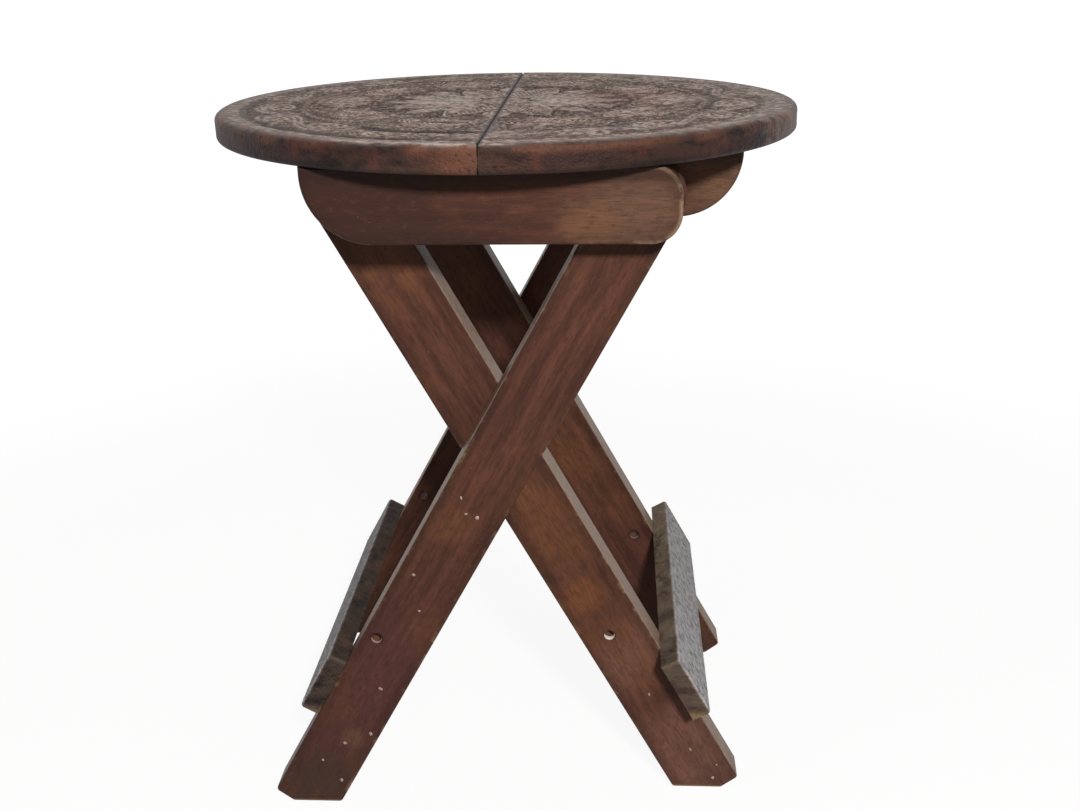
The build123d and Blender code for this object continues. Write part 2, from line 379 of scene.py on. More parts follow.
class Skin:
    """Points and faces of a closed skin, gathered loop by loop, in millimetres."""

    def __init__(self) -> None:
        """Start empty."""
        self.points: list[np.ndarray] = []
        self.count = 0
        self.faces: list[tuple[int, ...]] = []
        self.marks: dict[str, list[np.ndarray]] = {}
        self.last = np.arange(0)

    def add(self, points: np.ndarray, **marks: np.ndarray | float) -> np.ndarray:
        """Add points, with the values that they carry.

        Args:
            points: One row of X, Y and Z for each point.
            marks: Values carried at the points, by name; a name left out is 0.

        Returns:
            The numbers of the new points.
        """
        points = np.asarray(points, float).reshape(-1, 3)
        size = len(points)
        for name in set(self.marks) | set(marks):
            rows = self.marks.setdefault(name, [np.zeros(self.count)])
            rows.append(np.broadcast_to(np.asarray(marks.get(name, 0.0), float), size))
        self.points.append(points)
        numbers = np.arange(self.count, self.count + size)
        self.count += size
        return numbers

    def bridge(self, first: np.ndarray, second: np.ndarray, closed: bool = True) -> None:
        """Join two loops of as many points with a band of faces."""
        size = len(first)
        for index in range(size if closed else size - 1):
            after = (index + 1) % size
            self.faces.append((first[index], second[index], second[after], first[after]))

    def carry_on(self, points: np.ndarray, **marks: np.ndarray | float) -> None:
        """Add a loop of points and join it to the last loop, which it becomes."""
        numbers = self.add(points, **marks)
        self.bridge(self.last, numbers)
        self.last = numbers

    def widen(self, coarse: np.ndarray, fine: np.ndarray) -> None:
        """Join a row of points to the next, which has two steps for each of its steps."""
        for index in range(len(coarse) - 1):
            at = 2 * index
            self.faces.append(
                (coarse[index], fine[at], fine[at + 1], fine[at + 2], coarse[index + 1])
            )

    def cap(self) -> None:
        """Close the last loop with one flat face."""
        self.faces.append(tuple(int(number) for number in self.last))

    def build(self, name: str, material: bpy.types.Material, flip: bool) -> bpy.types.Object:
        """Make the piece.

        Args:
            name: Name of the piece.
            material: Its finish.
            flip: True where the skin was laid out mirrored, so that its faces are turned round.

        Returns:
            The new piece, smooth but for its sharp edges.
        """
        mesh = bpy.data.meshes.new(name)
        faces = [face[::-1] for face in self.faces] if flip else self.faces
        mesh.from_pydata((np.concatenate(self.points) * MM).tolist(), [], faces)
        for key, rows in self.marks.items():
            values = np.concatenate(rows).astype(np.float32)
            mesh.attributes.new(key, "FLOAT", "POINT").data.foreach_set("value", values)
        mesh.materials.append(material)
        mesh.shade_smooth()
        mesh.set_sharp_from_angle(angle=math.radians(50))
        return place(name, mesh)


def lathe(name: str, profile: list[tuple[float, float]], sides: int) -> bpy.types.Mesh:
    """Turn a profile about Z into a small closed shape, in millimetres.

    Args:
        name: Name of the mesh.
        profile: Radius and height of each ring, from the bottom pole to the top pole.
        sides: Number of sides.

    Returns:
        The mesh, in metres, facing outwards.
    """
    points: list[Point] = [(0.0, 0.0, profile[0][1] * MM)]
    for radius, height in profile[1:-1]:
        for side in range(sides):
            turn = 2 * math.pi * side / sides
            points.append(
                (radius * math.cos(turn) * MM, radius * math.sin(turn) * MM, height * MM)
            )
    points.append((0.0, 0.0, profile[-1][1] * MM))
    faces: list[tuple[int, ...]] = []
    rings = len(profile) - 2
    for side in range(sides):
        after = (side + 1) % sides
        faces.append((0, 1 + after, 1 + side))
        for ring in range(rings - 1):
            low, high = 1 + ring * sides, 1 + (ring + 1) * sides
            faces.append((low + side, low + after, high + after, high + side))
        last = 1 + (rings - 1) * sides
        faces.append((last + side, last + after, len(points) - 1))
    mesh = bpy.data.meshes.new(name)
    mesh.from_pydata(points, [], faces)
    mesh.shade_smooth()
    return mesh


def settle(piece: bpy.types.Object, body: str, slot: str, *replaced: str) -> None:
    """Make a piece ride on its body and hide the imported nodes that it stands for."""
    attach(piece, body)
    if replaced:
        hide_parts(*replaced)
    piece.data.calc_loop_triangles()
    log.info("%s rides on %s: %d triangles", piece.name, body, len(piece.data.loop_triangles))


def smooth(low: float, high: float, value: np.ndarray) -> np.ndarray:
    """Smooth step of an array from 0 at the low value to 1 at the high one."""
    share = np.clip((value - low) / (high - low), 0.0, 1.0)
    return share * share * (3 - 2 * share)


def ridge(distance: np.ndarray, width: float) -> np.ndarray:
    """Height of a rounded line, 1 on it and 0 away from it."""
    return np.exp(-((distance / (width / 2)) ** 2))


def wander(first: np.ndarray, second: np.ndarray, scale: float, shift: float) -> np.ndarray:
    """Uneven field between about -1 and 1, the same on every run, for hand-made wobble."""
    u, v = first / scale, second / scale
    return (
        np.sin(u * 1.7 + 1.3 * np.sin(v * 1.1 + shift) + shift)
        + np.sin(v * 2.1 + 1.7 * np.sin(u * 0.9 - shift) + 2 * shift)
        + np.sin(u * 2.9 - v * 1.9 + 3 * shift)
    ) / 3


# Finishes


@dataclass(frozen=True)
class Member:
    """Where a wooden member lies, for its grain: the grain runs along its own X axis."""

    centre: Point
    about_y: float
    half_length: float
    half_thickness: float
    half_width: float
    nose: float = 0.0
    heel: float = 0.0


@dataclass(frozen=True)
class Stain:
    """A soft spot of another tone: on wood placed by X and Z, on the top by X and Y, in metres."""

    first: float
    second: float
    reach: float
    colour: Colour
    strength: float


def stains(*rows: tuple[float, ...]) -> tuple[Stain, ...]:
    """Spots from rows of two places and a reach in mm, red, green and blue, and a strength."""
    return tuple(
        Stain(row[0] * MM, row[1] * MM, row[2] * MM, paint(*row[3:6]), row[6]) for row in rows
    )


@dataclass(frozen=True)
class PegHole:
    """A peg hole through a leg, in metres, and the pale wood just inside it, painted on the lower
    half as light falling into the hole.
    """

    x: float
    z: float
    radius: float
    pale: Colour
    pale_depth: float


@dataclass(frozen=True)
class Varnish:
    """Red-brown stain and varnish on hardwood, worn at its edges."""

    deep: Colour = paint(56, 34, 26)
    body: Colour = paint(94, 58, 46)
    plum: Colour = paint(84, 51, 46)
    warm: Colour = paint(118, 76, 49)
    worn: Colour = paint(150, 124, 96)
    # Pale colour of the upper narrow faces: dust, and partly a painted sheen
    dust: Colour = paint(166, 142, 124)
    # Dark colour of dirt in pores, by edges and round holes, and of the painted shadow under the
    # top's rim
    dirt: Colour = paint(38, 24, 19)
    trodden: Colour = paint(70, 52, 44)
    # Bare wood inside the peg holes: its own colour, made lighter as painted light against the
    # shade inside them
    bore: Colour = paint(122, 80, 63)
    ring_gap: float = 0.0042
    # Heights between which the painted shadow under the top's rim fades in, in metres
    under_top: tuple[float, float] = (0.435, 0.443)

    def outline(self, surface: Surface, along: Wire, across: Wire, member: Member) -> Wire:
        """Distance inside a member's outline, with its rounded nose and heel, in metres."""
        towards_nose = along.rise(-0.001, 0.001)
        above = across.rise(-0.001, 0.001)
        radius = towards_nose * member.nose + (1 - towards_nose) * (1 - above) * member.heel
        reach_along = abs(along) - member.half_length + radius
        reach_across = abs(across) - member.half_width + radius
        outside = surface.length(reach_along.most(0.0), reach_across.most(0.0))
        return radius - reach_along.most(reach_across).least(0.0) - outside

    def tread(self, surface: Surface, dust: Wire, up: Wire) -> None:
        """Lay the dust and the scuffs of a foot that stands on the floor."""
        surface.lay((1 - up.rise(0.004, 0.075)) * dust.rise(0.35, 0.65) * 0.55, self.trodden)
        surface.lay((1 - up.rise(0.0008, 0.0026)) * 0.6, self.worn)

    def open_hole(self, surface: Surface, hole: PegHole, x: Wire, z: Wire, deep: Wire) -> None:
        """Lay the grime round a peg hole, and its bare wood, with painted light on the lower half
        of the opening.

        Args:
            surface: The tree, whose colour so far is the varnish.
            hole: The peg hole.
            x: The object's own X.
            z: The object's own Z.
            deep: Depth below the leg's front face.
        """
        down = z - hole.z
        away = surface.length(x - hole.x, down)
        surface.lay((1 - away.rise(hole.radius, hole.radius + 0.0035)) * 0.3, self.dirt)
        # Painted light: near the face, the lower half of the hole's wall, which faces up to the
        # lamp, takes the pale colour
        lit_lower_wall = 1 - deep.rise(hole.pale_depth, hole.pale_depth + 0.0012)
        lit_lower_wall = lit_lower_wall * (1 - down.rise(0.0, 0.0008))
        bare = 1 - away.rise(hole.radius - 0.0002, hole.radius + 0.0002)
        surface.lay(bare, surface.blend(lit_lower_wall, self.bore, hole.pale))

    def dress(
        self,
        name: str,
        member: Member,
        seed: float,
        warmth: float = 0.5,
        hole: PegHole | None = None,
        foot: bool = False,
        edge_wear: float = 0.5,
        dust_and_sheen: float = 0.0,
        dust_and_sheen_above: float = -1.0,
        stains: tuple[Stain, ...] = (),
    ) -> bpy.types.Material:
        """Make the finish of one member.

        Args:
            name: Name of the material.
            member: Where the member lies.
            seed: Shift of its figure, so that no two members are alike.
            warmth: Share of its face that is orange-brown.
            hole: Its peg hole.
            foot: True where the member stands on the floor and is scuffed there.
            edge_wear: How far the varnish is gone from its edges.
            dust_and_sheen: How pale its upper narrow face is, from dust and a painted sheen.
            dust_and_sheen_above: Height from which that face is pale, in metres.
            stains: Spots of other colours.

        Returns:
            The finished material.
        """
        surface = Surface(
            name, Specular_IOR_Level=0.10, Coat_Weight=0.02, Coat_Roughness=0.3, Coat_IOR=1.45
        )
        lay = surface.lay
        own = surface.turned(member.centre, member.about_y)
        shifted = surface.vector("ADD", own, (seed, seed * 1.7, seed * 0.6))
        along, through, across = surface.split(own)
        x, _, z = surface.split(surface.place)
        streaks = surface.streaks(shifted, (13.0, 150.0, 150.0), 5.0, 0.62)
        fibres = surface.streaks(shifted, (90.0, 1100.0, 1100.0), 3.0, 0.6)
        pores = surface.streaks(shifted, (150.0, 1500.0, 1500.0), 2.0, 0.5)
        patches = surface.streaks(shifted, (13.0, 26.0, 26.0), 4.0, 0.6)
        plums = surface.streaks(shifted, (17.0, 30.0, 30.0), 3.0, 0.55)
        mottle = surface.streaks(shifted, (170.0, 300.0, 300.0), 4.0, 0.6)
        scuffs = surface.streaks(shifted, (260.0, 90.0, 420.0), 3.0, 0.7)
        # Growth rings cut by the face, bent by a slow noise along the grain
        bend = surface.streaks(shifted, (5.0, 22.0, 22.0), 2.0)
        pith = across + (0.012 + 0.01 * math.sin(seed * 9))
        spread = surface.length(pith, through + 0.055)
        rings = surface.maths("SINE", (spread + bend * 0.014) * (2 * math.pi / self.ring_gap))
        pore = pores.rise(0.62, 0.74)
        scuff = scuffs.rise(0.68, 0.76)
        surface.colour = surface.blend(streaks.rise(0.34, 0.64) * 0.8 + 0.2, self.deep, self.body)
        lay(plums.rise(0.48, 0.70) * 0.55, self.plum)
        warm = patches.rise(0.60 - 0.2 * warmth, 0.80 - 0.16 * warmth)
        lay(warm * (0.25 + 0.4 * warmth), self.warm)
        surface.spot(stains, x, z, patches)
        lay((rings * 0.5 + 0.5) * 0.16, self.deep)
        lay(fibres.rise(0.44, 0.62) * 0.28, self.deep)
        lay(mottle.rise(0.50, 0.66) * 0.32, self.deep)
        lay((1 - mottle.rise(0.34, 0.46)) * 0.11, self.warm)
        lay(pore * 0.5, self.dirt)
        # Arrises, where two faces meet, are rubbed, and the grime is beside them
        inside = self.outline(surface, along, across, member)
        near_edge = inside.most(member.half_thickness - abs(through))
        rubbed = surface.noise(shifted, 90.0, 4.0, 0.65)
        bared = rubbed.rise(0.62 - 0.3 * edge_wear, 0.74)
        if member.nose:
            end = member.half_length
            at_nose = along.rise(end - 0.034, end - 0.014)
            towards = along.rise(end - 0.09, end - 0.03)
            bared = (bared * (0.2 + 0.8 * towards)).most(at_nose * rubbed.rise(0.30, 0.50))
        arris = (1 - near_edge.rise(0.0006, 0.0034)) * bared
        lay(arris * (0.35 + 0.6 * edge_wear), self.worn)
        lay((1 - inside.rise(0.001, 0.012)) * (1 - arris) * 0.35, self.dirt)
        # Painted shadow: a dark band at the top of each member, just under the top's rim
        lay(z.rise(*self.under_top) * 0.55, self.dirt)
        lay(scuff * 0.28, self.worn)
        # Dust on the upper narrow face, and partly a painted sheen where that face looks up to the
        # lamps and the white surroundings
        if dust_and_sheen:
            upper = across.rise(member.half_width - 0.0007, member.half_width - 0.0002)
            upper = upper * z.rise(dust_and_sheen_above, dust_and_sheen_above + 0.03)
            dust_and_sheen_film = upper * (0.55 + 0.45 * mottle.rise(0.30, 0.58))
            lay(dust_and_sheen_film * dust_and_sheen, self.dust)
        if foot:
            self.tread(surface, surface.noise(shifted, 34.0, 4.0, 0.6), z)
        if hole:
            self.open_hole(surface, hole, x, z, through + member.half_thickness)
        roughness = 0.38 + pore * 0.2 + mottle * 0.16 + scuff * 0.2 + arris * 0.12
        height = streaks * 0.4 + fibres * 0.35 - pore * 0.4 - scuff * 0.3 + mottle * 0.3
        return surface.finish(roughness, height, 0.4, 0.0005)


@dataclass(frozen=True)
class PlainWood:
    """Planed wood without a finish."""

    dark: Colour
    light: Colour

    def dress(self, name: str, member: Member, seed: float) -> bpy.types.Material:
        """Make the finish of one board or dowel."""
        surface = Surface(name, Specular_IOR_Level=0.35)
        own = surface.turned(member.centre, member.about_y)
        own = surface.vector("ADD", own, (seed, seed, seed))
        streaks = surface.streaks(own, (8.0, 190.0, 190.0), 4.0, 0.6)
        pores = surface.streaks(own, (60.0, 1400.0, 1400.0), 2.0)
        surface.colour = surface.blend(streaks.rise(0.3, 0.7), self.dark, self.light)
        surface.lay(surface.noise(own, 18.0).rise(0.5, 0.75) * 0.4, self.dark)
        height = streaks - pores.rise(0.6, 0.72) * 0.5
        return surface.finish(0.62 + streaks * 0.2, height, 0.4, 0.0005)


@dataclass(frozen=True)
class OldSteel:
    """Darkened steel of tacks, screws and washers."""

    light: Colour
    dark: Colour
    roughness: float = 0.42

    def dress(self, name: str) -> bpy.types.Material:
        """Make the finish, with its spots of rust."""
        surface = Surface(name, Metallic=0.85)
        spots = surface.noise(surface.place, 900.0, 4.0, 0.65)
        broad = surface.noise(surface.place, 120.0, 2.0)
        tarnish = (spots * 0.6 + broad * 0.4).rise(0.42, 0.62)
        surface.colour = surface.blend(tarnish, self.light, self.dark)
        return surface.finish(self.roughness + tarnish * 0.25, spots, 0.25, 0.0003)


SCREW_STEEL = OldSteel(paint(170, 168, 162), paint(96, 84, 74))
TACK_STEEL = OldSteel(paint(112, 104, 96), paint(58, 44, 36))
WASHER_STEEL = OldSteel(paint(150, 146, 138), paint(84, 72, 62))


@dataclass(frozen=True)
class Fleck:
    """Spots of old white paint and pale tan thread."""

    light: Colour
    dark: Colour

    def dress(self, name: str) -> bpy.types.Material:
        """Make the finish."""
        surface = Surface(name, Specular_IOR_Level=0.3)
        spots = surface.noise(surface.place, 1500.0)
        surface.colour = surface.blend(spots.rise(0.35, 0.7), self.dark, self.light)
        return surface.finish(0.7, spots, 0.3, 0.0002)


@dataclass(frozen=True)
class TooledLeather:
    """Dark waxed leather, with dye in its hollows, and wear and painted highlights on what stands
    up.
    """

    hollow: Colour = paint(46, 31, 25)
    ground: Colour = paint(104, 83, 73)
    raised: Colour = paint(154, 136, 126)
    mauve: Colour = paint(126, 105, 107)
    olive: Colour = paint(114, 98, 78)
    rubbed: Colour = paint(181, 166, 156)
    tan: Colour = paint(96, 60, 44)
    side_deep: Colour = paint(22, 13, 11)
    side_body: Colour = paint(53, 34, 29)
    side_warm: Colour = paint(78, 43, 34)
    specular: float = 0.11
    sheen: float = 0.03

    def dress(
        self, name: str, seed: float, gloss: float = 0.46, spots: tuple[Stain, ...] = ()
    ) -> bpy.types.Material:
        """Make the finish of one cover.

        Args:
            name: Name of the material.
            seed: Shift of its figure.
            gloss: Roughness of the smooth leather.
            spots: Spots of other tones.

        Returns:
            The finished material, which reads the marks relief, stipple, wear, bare and side.
        """
        surface = Surface(
            name,
            Specular_IOR_Level=self.specular,
            Sheen_Weight=self.sheen,
            Sheen_Roughness=0.5,
        )
        lay = surface.lay
        place = surface.vector("ADD", surface.place, (seed, seed * 0.7, seed * 1.3))
        relief, stipple, wear, bare, side = (
            surface.attribute(mark) for mark in ("relief", "stipple", "wear", "bare", "side")
        )
        cells, punch = surface.cells(place, 900.0), surface.cells(place, 520.0)
        fibre = surface.noise(place, 420.0, 4.0, 0.6)
        broad = surface.noise(place, 34.0, 4.0, 0.6)
        tint = surface.noise(surface.vector("ADD", place, (3.1, 1.9, 0.4)), 60.0, 3.0, 0.6)
        creases = surface.streaks(place, (70.0, 190.0, 190.0), 5.0, 0.65)
        grain = surface.noise(surface.vector("ADD", place, (0.7, 2.3, 5.1)), 210.0, 3.0, 0.6)
        x, y, _ = surface.split(surface.place)
        surface.colour = surface.blend(relief.rise(-0.50, -0.06), self.hollow, self.ground)
        lay(relief.rise(-0.04, 0.34) * 0.9, self.raised)
        lay(tint.rise(0.50, 0.68) * 0.5, self.mauve)
        lay((1 - tint.rise(0.32, 0.50)) * 0.45, self.olive)
        lay(broad.rise(0.50, 0.68) * 0.45, self.ground)
        lay((1 - broad.rise(0.30, 0.44)) * 0.4, self.hollow)
        lay(grain.rise(0.51, 0.62) * 0.52, self.hollow)
        lay((1 - grain.rise(0.36, 0.46)) * 0.45, self.raised)
        surface.spot(spots, x, y, broad)
        # The smooth leather of the rim and the folded sides, with dark blotches low on it
        blotches = surface.streaks(place, (46.0, 46.0, 130.0), 4.0, 0.62)
        folded = surface.blend(blotches.rise(0.36, 0.54), self.side_deep, self.side_body)
        folded = surface.blend(tint.rise(0.49, 0.66) * 0.7, folded, self.side_warm)
        folded = surface.blend(relief.rise(-0.36, -0.70) * 0.75, folded, self.side_deep)
        folded = surface.blend(grain.rise(0.54, 0.66) * 0.35, folded, self.side_deep)
        lay(side, folded)
        lay(bare * fibre.rise(0.25, 0.5), self.tan)
        # Wear on what stands up, painted highlights on its ridges, and dye in the pits and the
        # hollows
        tooled = 1 - side
        # Painted highlights: light flecks on the raised, creased ridges, laid with the wear in the
        # rubbed colour
        high = relief.rise(0.02, 0.34) * creases.rise(0.48, 0.58) * 0.8
        rubbed = wear * creases.rise(0.34, 0.60) * (0.35 + 0.65 * relief.rise(-0.15, 0.30))
        scuff = rubbed.most(high).least(1.0)
        lay(scuff * 0.8, self.rubbed)
        lay(grain.rise(0.50, 0.60) * tooled * 0.42, self.hollow)
        lay((1 - grain.rise(0.38, 0.45)) * tooled * (1 - bare) * 0.35, self.rubbed)
        lay(relief.rise(-0.42, -0.85) * 0.8 * tooled, self.hollow)
        lay(stipple * punch.rise(0.25, 0.6) * 0.35, self.hollow)
        roughness = gloss + fibre * 0.18 + stipple * 0.15 - scuff * 0.05
        height = (
            (1 - cells) * 0.35
            + fibre * 0.5
            + creases * 0.6
            - grain * 0.9
            + stipple * (1 - punch) * 1.6
            + relief * 0.25
        )
        return surface.finish(roughness, height, 0.9, 0.0010)


# Repeated pieces


class RingOfStamps(Pattern):
    """Copies of one small stamp, set out along part of a circle."""

    def __init__(self) -> None:
        """Build the tree."""
        super().__init__("ring_of_stamps")
        stamp = self.entry("Stamp", "Object")
        count = self.entry("Count", "Int")
        radius = self.entry("Radius")
        height = self.entry("Height")
        first = self.entry("First angle")
        last = self.entry("Last angle")
        side = self.entry("Side")
        uneven = self.entry("Unevenness")
        seed = self.entry("Seed", "Int")
        index = self.node("GeometryNodeInputIndex")
        angle = first + (last - first) * (index / (count - 1))
        jitter = self.random(-1.0, 1.0, seed, index)
        reach = radius + jitter * uneven
        place = self.node(
            "ShaderNodeCombineXYZ",
            None,
            {
                0: side * self.maths("COSINE", angle) * reach,
                1: self.maths("SINE", angle) * reach,
                2: height,
            },
        )
        points = self.node("GeometryNodePoints", None, {"Count": count, "Position": place})
        rotation = self.turn({2: angle * side + jitter * 0.12})
        self.close(points, stamp, rotation, 1.0 + jitter * 0.08)


class RowOfStitches(Pattern):
    """Copies of one stitch, set end to end along the edges of the carrier."""

    def __init__(self) -> None:
        """Build the tree."""
        super().__init__("row_of_stitches")
        stitch = self.entry("Stitch", "Object")
        pitch = self.entry("Pitch")
        seed = self.entry("Seed", "Int")
        curve = self.node("GeometryNodeMeshToCurve", None, {"Mesh": self.carried})
        even = self.node(
            "GeometryNodeResampleCurve", {"mode": "LENGTH"}, {"Curve": curve, "Length": pitch}
        )
        tangent = self.node("GeometryNodeInputTangent")
        rotation = self.node(
            "FunctionNodeAlignRotationToVector", {"axis": "X"}, {"Vector": tangent}
        )
        self.close(even, stitch, rotation, self.random(0.8, 1.12, seed))


class ScatterOfFlecks(Pattern):
    """Copies of one flat fleck on the points of the carrier, turned about Y, of uneven sizes."""

    def __init__(self) -> None:
        """Build the tree."""
        super().__init__("scatter_of_flecks")
        fleck = self.entry("Fleck", "Object")
        seed = self.entry("Seed", "Int")
        size = self.random((0.6, 1.0, 0.5), (1.5, 1.0, 1.2), seed)
        rotation = self.turn({1: self.random(0.0, 2 * math.pi, seed)})
        self.close(self.carried, fleck, rotation, size)


# The stool


class Side(Enum):
    """The two sides of the stool, by the sign of X."""

    LEFT = -1
    RIGHT = 1

    @property
    def label(self) -> str:
        """Name of the side in the names of its pieces."""
        return "left" if self is Side.LEFT else "right"


@dataclass
class TooledPattern:
    """Height of the tooling over half of the top, in millimetres: rings, scrolls and petals."""

    rim_groove: float = 172.0
    scroll_ring: float = 152.5
    scroll_swing: float = 8.5
    scrolls: int = 9
    bead_ring: float = 133.0
    arch_inner: float = 92.0
    arch_outer: float = 128.0
    arches: int = 5
    inner_ring: float = 86.0
    petals: int = 4
    petal_inner: float = 16.0
    petal_outer: float = 82.0
    petal_width: float = 16.0
    leaf_inner: float = 46.0
    leaf_outer: float = 84.0
    leaf_width: float = 9.0
    hub: float = 14.0
    arch_width: float = 27.0
    scroll_length: float = 18.0
    scroll_height: float = 11.0
    tooled_to: float = 169.25
    ground: float = -0.42

    def bay(self, angle: np.ndarray, count: int, shift: float = 0.0) -> np.ndarray:
        """Angle from the middle of the bay that a point lies in, for so many bays a half."""
        period = math.pi / count
        return (angle + math.pi / 2 + shift * period) % period - period / 2

    def leaf(
        self, radius: np.ndarray, aside: np.ndarray, ends: tuple[float, float], width: float
    ) -> np.ndarray:
        """Distance inside a pointed leaf that lies along a radius; negative outside."""
        share = (radius - ends[0]) / (ends[1] - ends[0])
        inside = np.clip(share, 0.0, 1.0)
        half = width * np.sin(math.pi * inside**0.8) ** 0.9
        past = np.maximum(np.abs(share - 0.5) - 0.5, 0.0) * (ends[1] - ends[0])
        return half - np.abs(aside) - past

    def petals_relief(self, radius: np.ndarray, angle: np.ndarray) -> tuple[np.ndarray, np.ndarray]:
        """Relief of the rosette, and where its ground is left bare."""
        ends = (self.petal_inner, self.petal_outer)
        bay = self.bay(angle, self.petals)
        aside = radius * bay
        depth = self.leaf(radius, aside, ends, self.petal_width)
        between = radius * self.bay(angle, self.petals, 0.5)
        small = self.leaf(radius, between, (self.leaf_inner, self.leaf_outer), self.leaf_width)
        hatch = 0.5 + 0.5 * np.cos(2 * math.pi * (radius * 0.72 - np.abs(aside) * 1.1) / 3.9)
        inner = smooth(0.4, 1.8, depth)
        height = inner * (0.28 - 0.75 * hatch**2 * smooth(1.6, 3.4, depth))
        height -= 0.7 * inner * ridge(aside, 1.6)
        for inset, rise, width in ((1.4, 0.3, 2.0), (-0.3, -0.6, 1.7), (-3.4, -0.4, 1.5)):
            height += rise * ridge(depth - inset, width)
        inner_small = smooth(0.3, 1.6, small)
        barb = np.abs(between) - (self.leaf_outer - radius) * 0.16
        vein = ridge(between, 1.3) + 0.6 * ridge(barb, 1.1)
        height += inner_small * (0.28 - 0.45 * np.minimum(vein, 1.0)) * (1 - inner)
        bare = (1 - inner) * (1 - inner_small)
        hub = smooth(self.hub + 1.0, self.hub - 1.0, radius)
        eye = 0.3 - 0.5 * ridge(radius - 10.0, 1.8) - 0.4 * ridge(radius - 5.0, 1.6)
        height = height * (1 - hub) + hub * eye
        return height, bare * (1 - hub)

    def arches_relief(self, radius: np.ndarray, angle: np.ndarray) -> tuple[np.ndarray, np.ndarray]:
        """Relief of the band of arches, each with nested outlines and a leaf inside."""
        bay = self.bay(angle, self.arches)
        aside = radius * bay
        middle = (self.arch_inner + self.arch_outer) / 2
        ends = (self.arch_inner - 2, self.arch_outer - 1)
        depth = self.leaf(radius, aside, ends, self.arch_width)
        inner = smooth(0.3, 1.8, depth)
        height = inner * 0.06
        for offset, strength in ((1.6, 0.4), (5.6, 0.35), (9.4, 0.3), (13.2, 0.25)):
            height += strength * ridge(depth - offset, 2.0)
        for offset, strength in ((0.0, 0.6), (3.6, 0.65), (7.5, 0.6), (11.3, 0.55)):
            height -= strength * ridge(depth - offset, 1.6) * smooth(-1.5, 0.2, depth)
        core = self.leaf(radius, aside, (middle - 15, middle + 14), 10.0)
        slant = np.abs(aside) * 1.1 + (radius - middle) * 0.7
        rays = 0.5 + 0.5 * np.cos(slant * 2 * math.pi / 3.8)
        height += smooth(0.0, 1.4, core) * (0.3 - 0.75 * rays**2) - 0.4 * ridge(core, 1.4)
        gap = self.bay(angle, self.arches, 0.5) * radius
        fan = 0.5 + 0.5 * np.cos(np.abs(gap) * 2 * math.pi / 4.4 - radius * 0.18)
        height += (1 - inner) * (0.1 - 0.6 * fan**2)
        return height, (1 - inner) * 0.4

    def scroll_relief(self, radius: np.ndarray, angle: np.ndarray) -> tuple[np.ndarray, np.ndarray]:
        """Relief of the border: a running stem of two strands, with a curl in each of its bends."""
        period = math.pi / self.scrolls
        turn = (angle + math.pi / 2) / period
        stem = self.scroll_ring + self.scroll_swing * np.cos(math.pi * turn)
        steepest = self.scroll_swing * math.pi / (period * self.scroll_ring)
        off_stem = (radius - stem) / np.hypot(1, steepest * np.sin(math.pi * turn))
        bay = self.bay(angle, self.scrolls, 0.5)
        sign = np.where(np.floor(turn + 0.5) % 2 == 0, -1.0, 1.0)
        across = bay * radius
        lift = (radius - self.scroll_ring) * sign - 5.5
        blade = np.hypot(across / self.scroll_length, lift / self.scroll_height)
        inner = smooth(1.06, 0.94, blade)
        swirl = 0.5 + 0.5 * np.cos(2 * math.pi * blade * 2.4 - sign * np.arctan2(lift, across))
        height = self.ground + 0.8 * ridge(off_stem - 1.9, 2.4) + 0.8 * ridge(off_stem + 1.9, 2.4)
        height += inner * (0.85 * swirl**0.7 - 0.05 - (height - self.ground))
        combed = 0.5 + 0.5 * np.cos(2 * math.pi * (across + 0.8 * lift) / 3.8)
        beyond = (1 - inner) * smooth(2.6, 4.4, np.abs(off_stem))
        height += 0.5 * beyond * combed
        return height, beyond * (1 - combed)

    def height(self, radius: np.ndarray, angle: np.ndarray) -> tuple[np.ndarray, np.ndarray]:
        """Relief and bare ground at points given by their radius and angle.

        Args:
            radius: Distances from the middle of the top, in millimetres.
            angle: Angles from the X axis, from -90 to 90 degrees, in radians.

        Returns:
            Height of the leather in millimetres, and the share of stippled ground.
        """
        x, y = radius * np.cos(angle), radius * np.sin(angle)
        wobble = wander(x, y, 24.0, 0.7)
        radius = radius + 0.5 * wobble
        angle = angle + 0.35 * wander(x, y, 31.0, 2.1) / np.maximum(radius, 30.0)
        inner_height, inner_bare = self.petals_relief(radius, angle)
        arch_height, arch_bare = self.arches_relief(radius, angle)
        border_height, border_bare = self.scroll_relief(radius, angle)
        to_arches = smooth(self.inner_ring - 0.8, self.inner_ring + 0.8, radius)
        to_border = smooth(self.bead_ring - 2.0, self.bead_ring + 2.0, radius)
        to_rim = smooth(self.tooled_to - 0.75, self.tooled_to + 0.75, radius)
        height = inner_height + (arch_height - inner_height) * to_arches
        height += (border_height - height) * to_border
        height -= height * to_rim
        bare = inner_bare + (arch_bare - inner_bare) * to_arches
        bare = (bare + (border_bare - bare) * to_border) * (1 - to_rim)
        strokes = np.cos(2 * math.pi * (x + 2.2 * wander(x, y, 7.0, 0.3)) / 4.1)
        height += bare * (self.ground * 0.6 + 0.22 * strokes) * (1 - to_border)
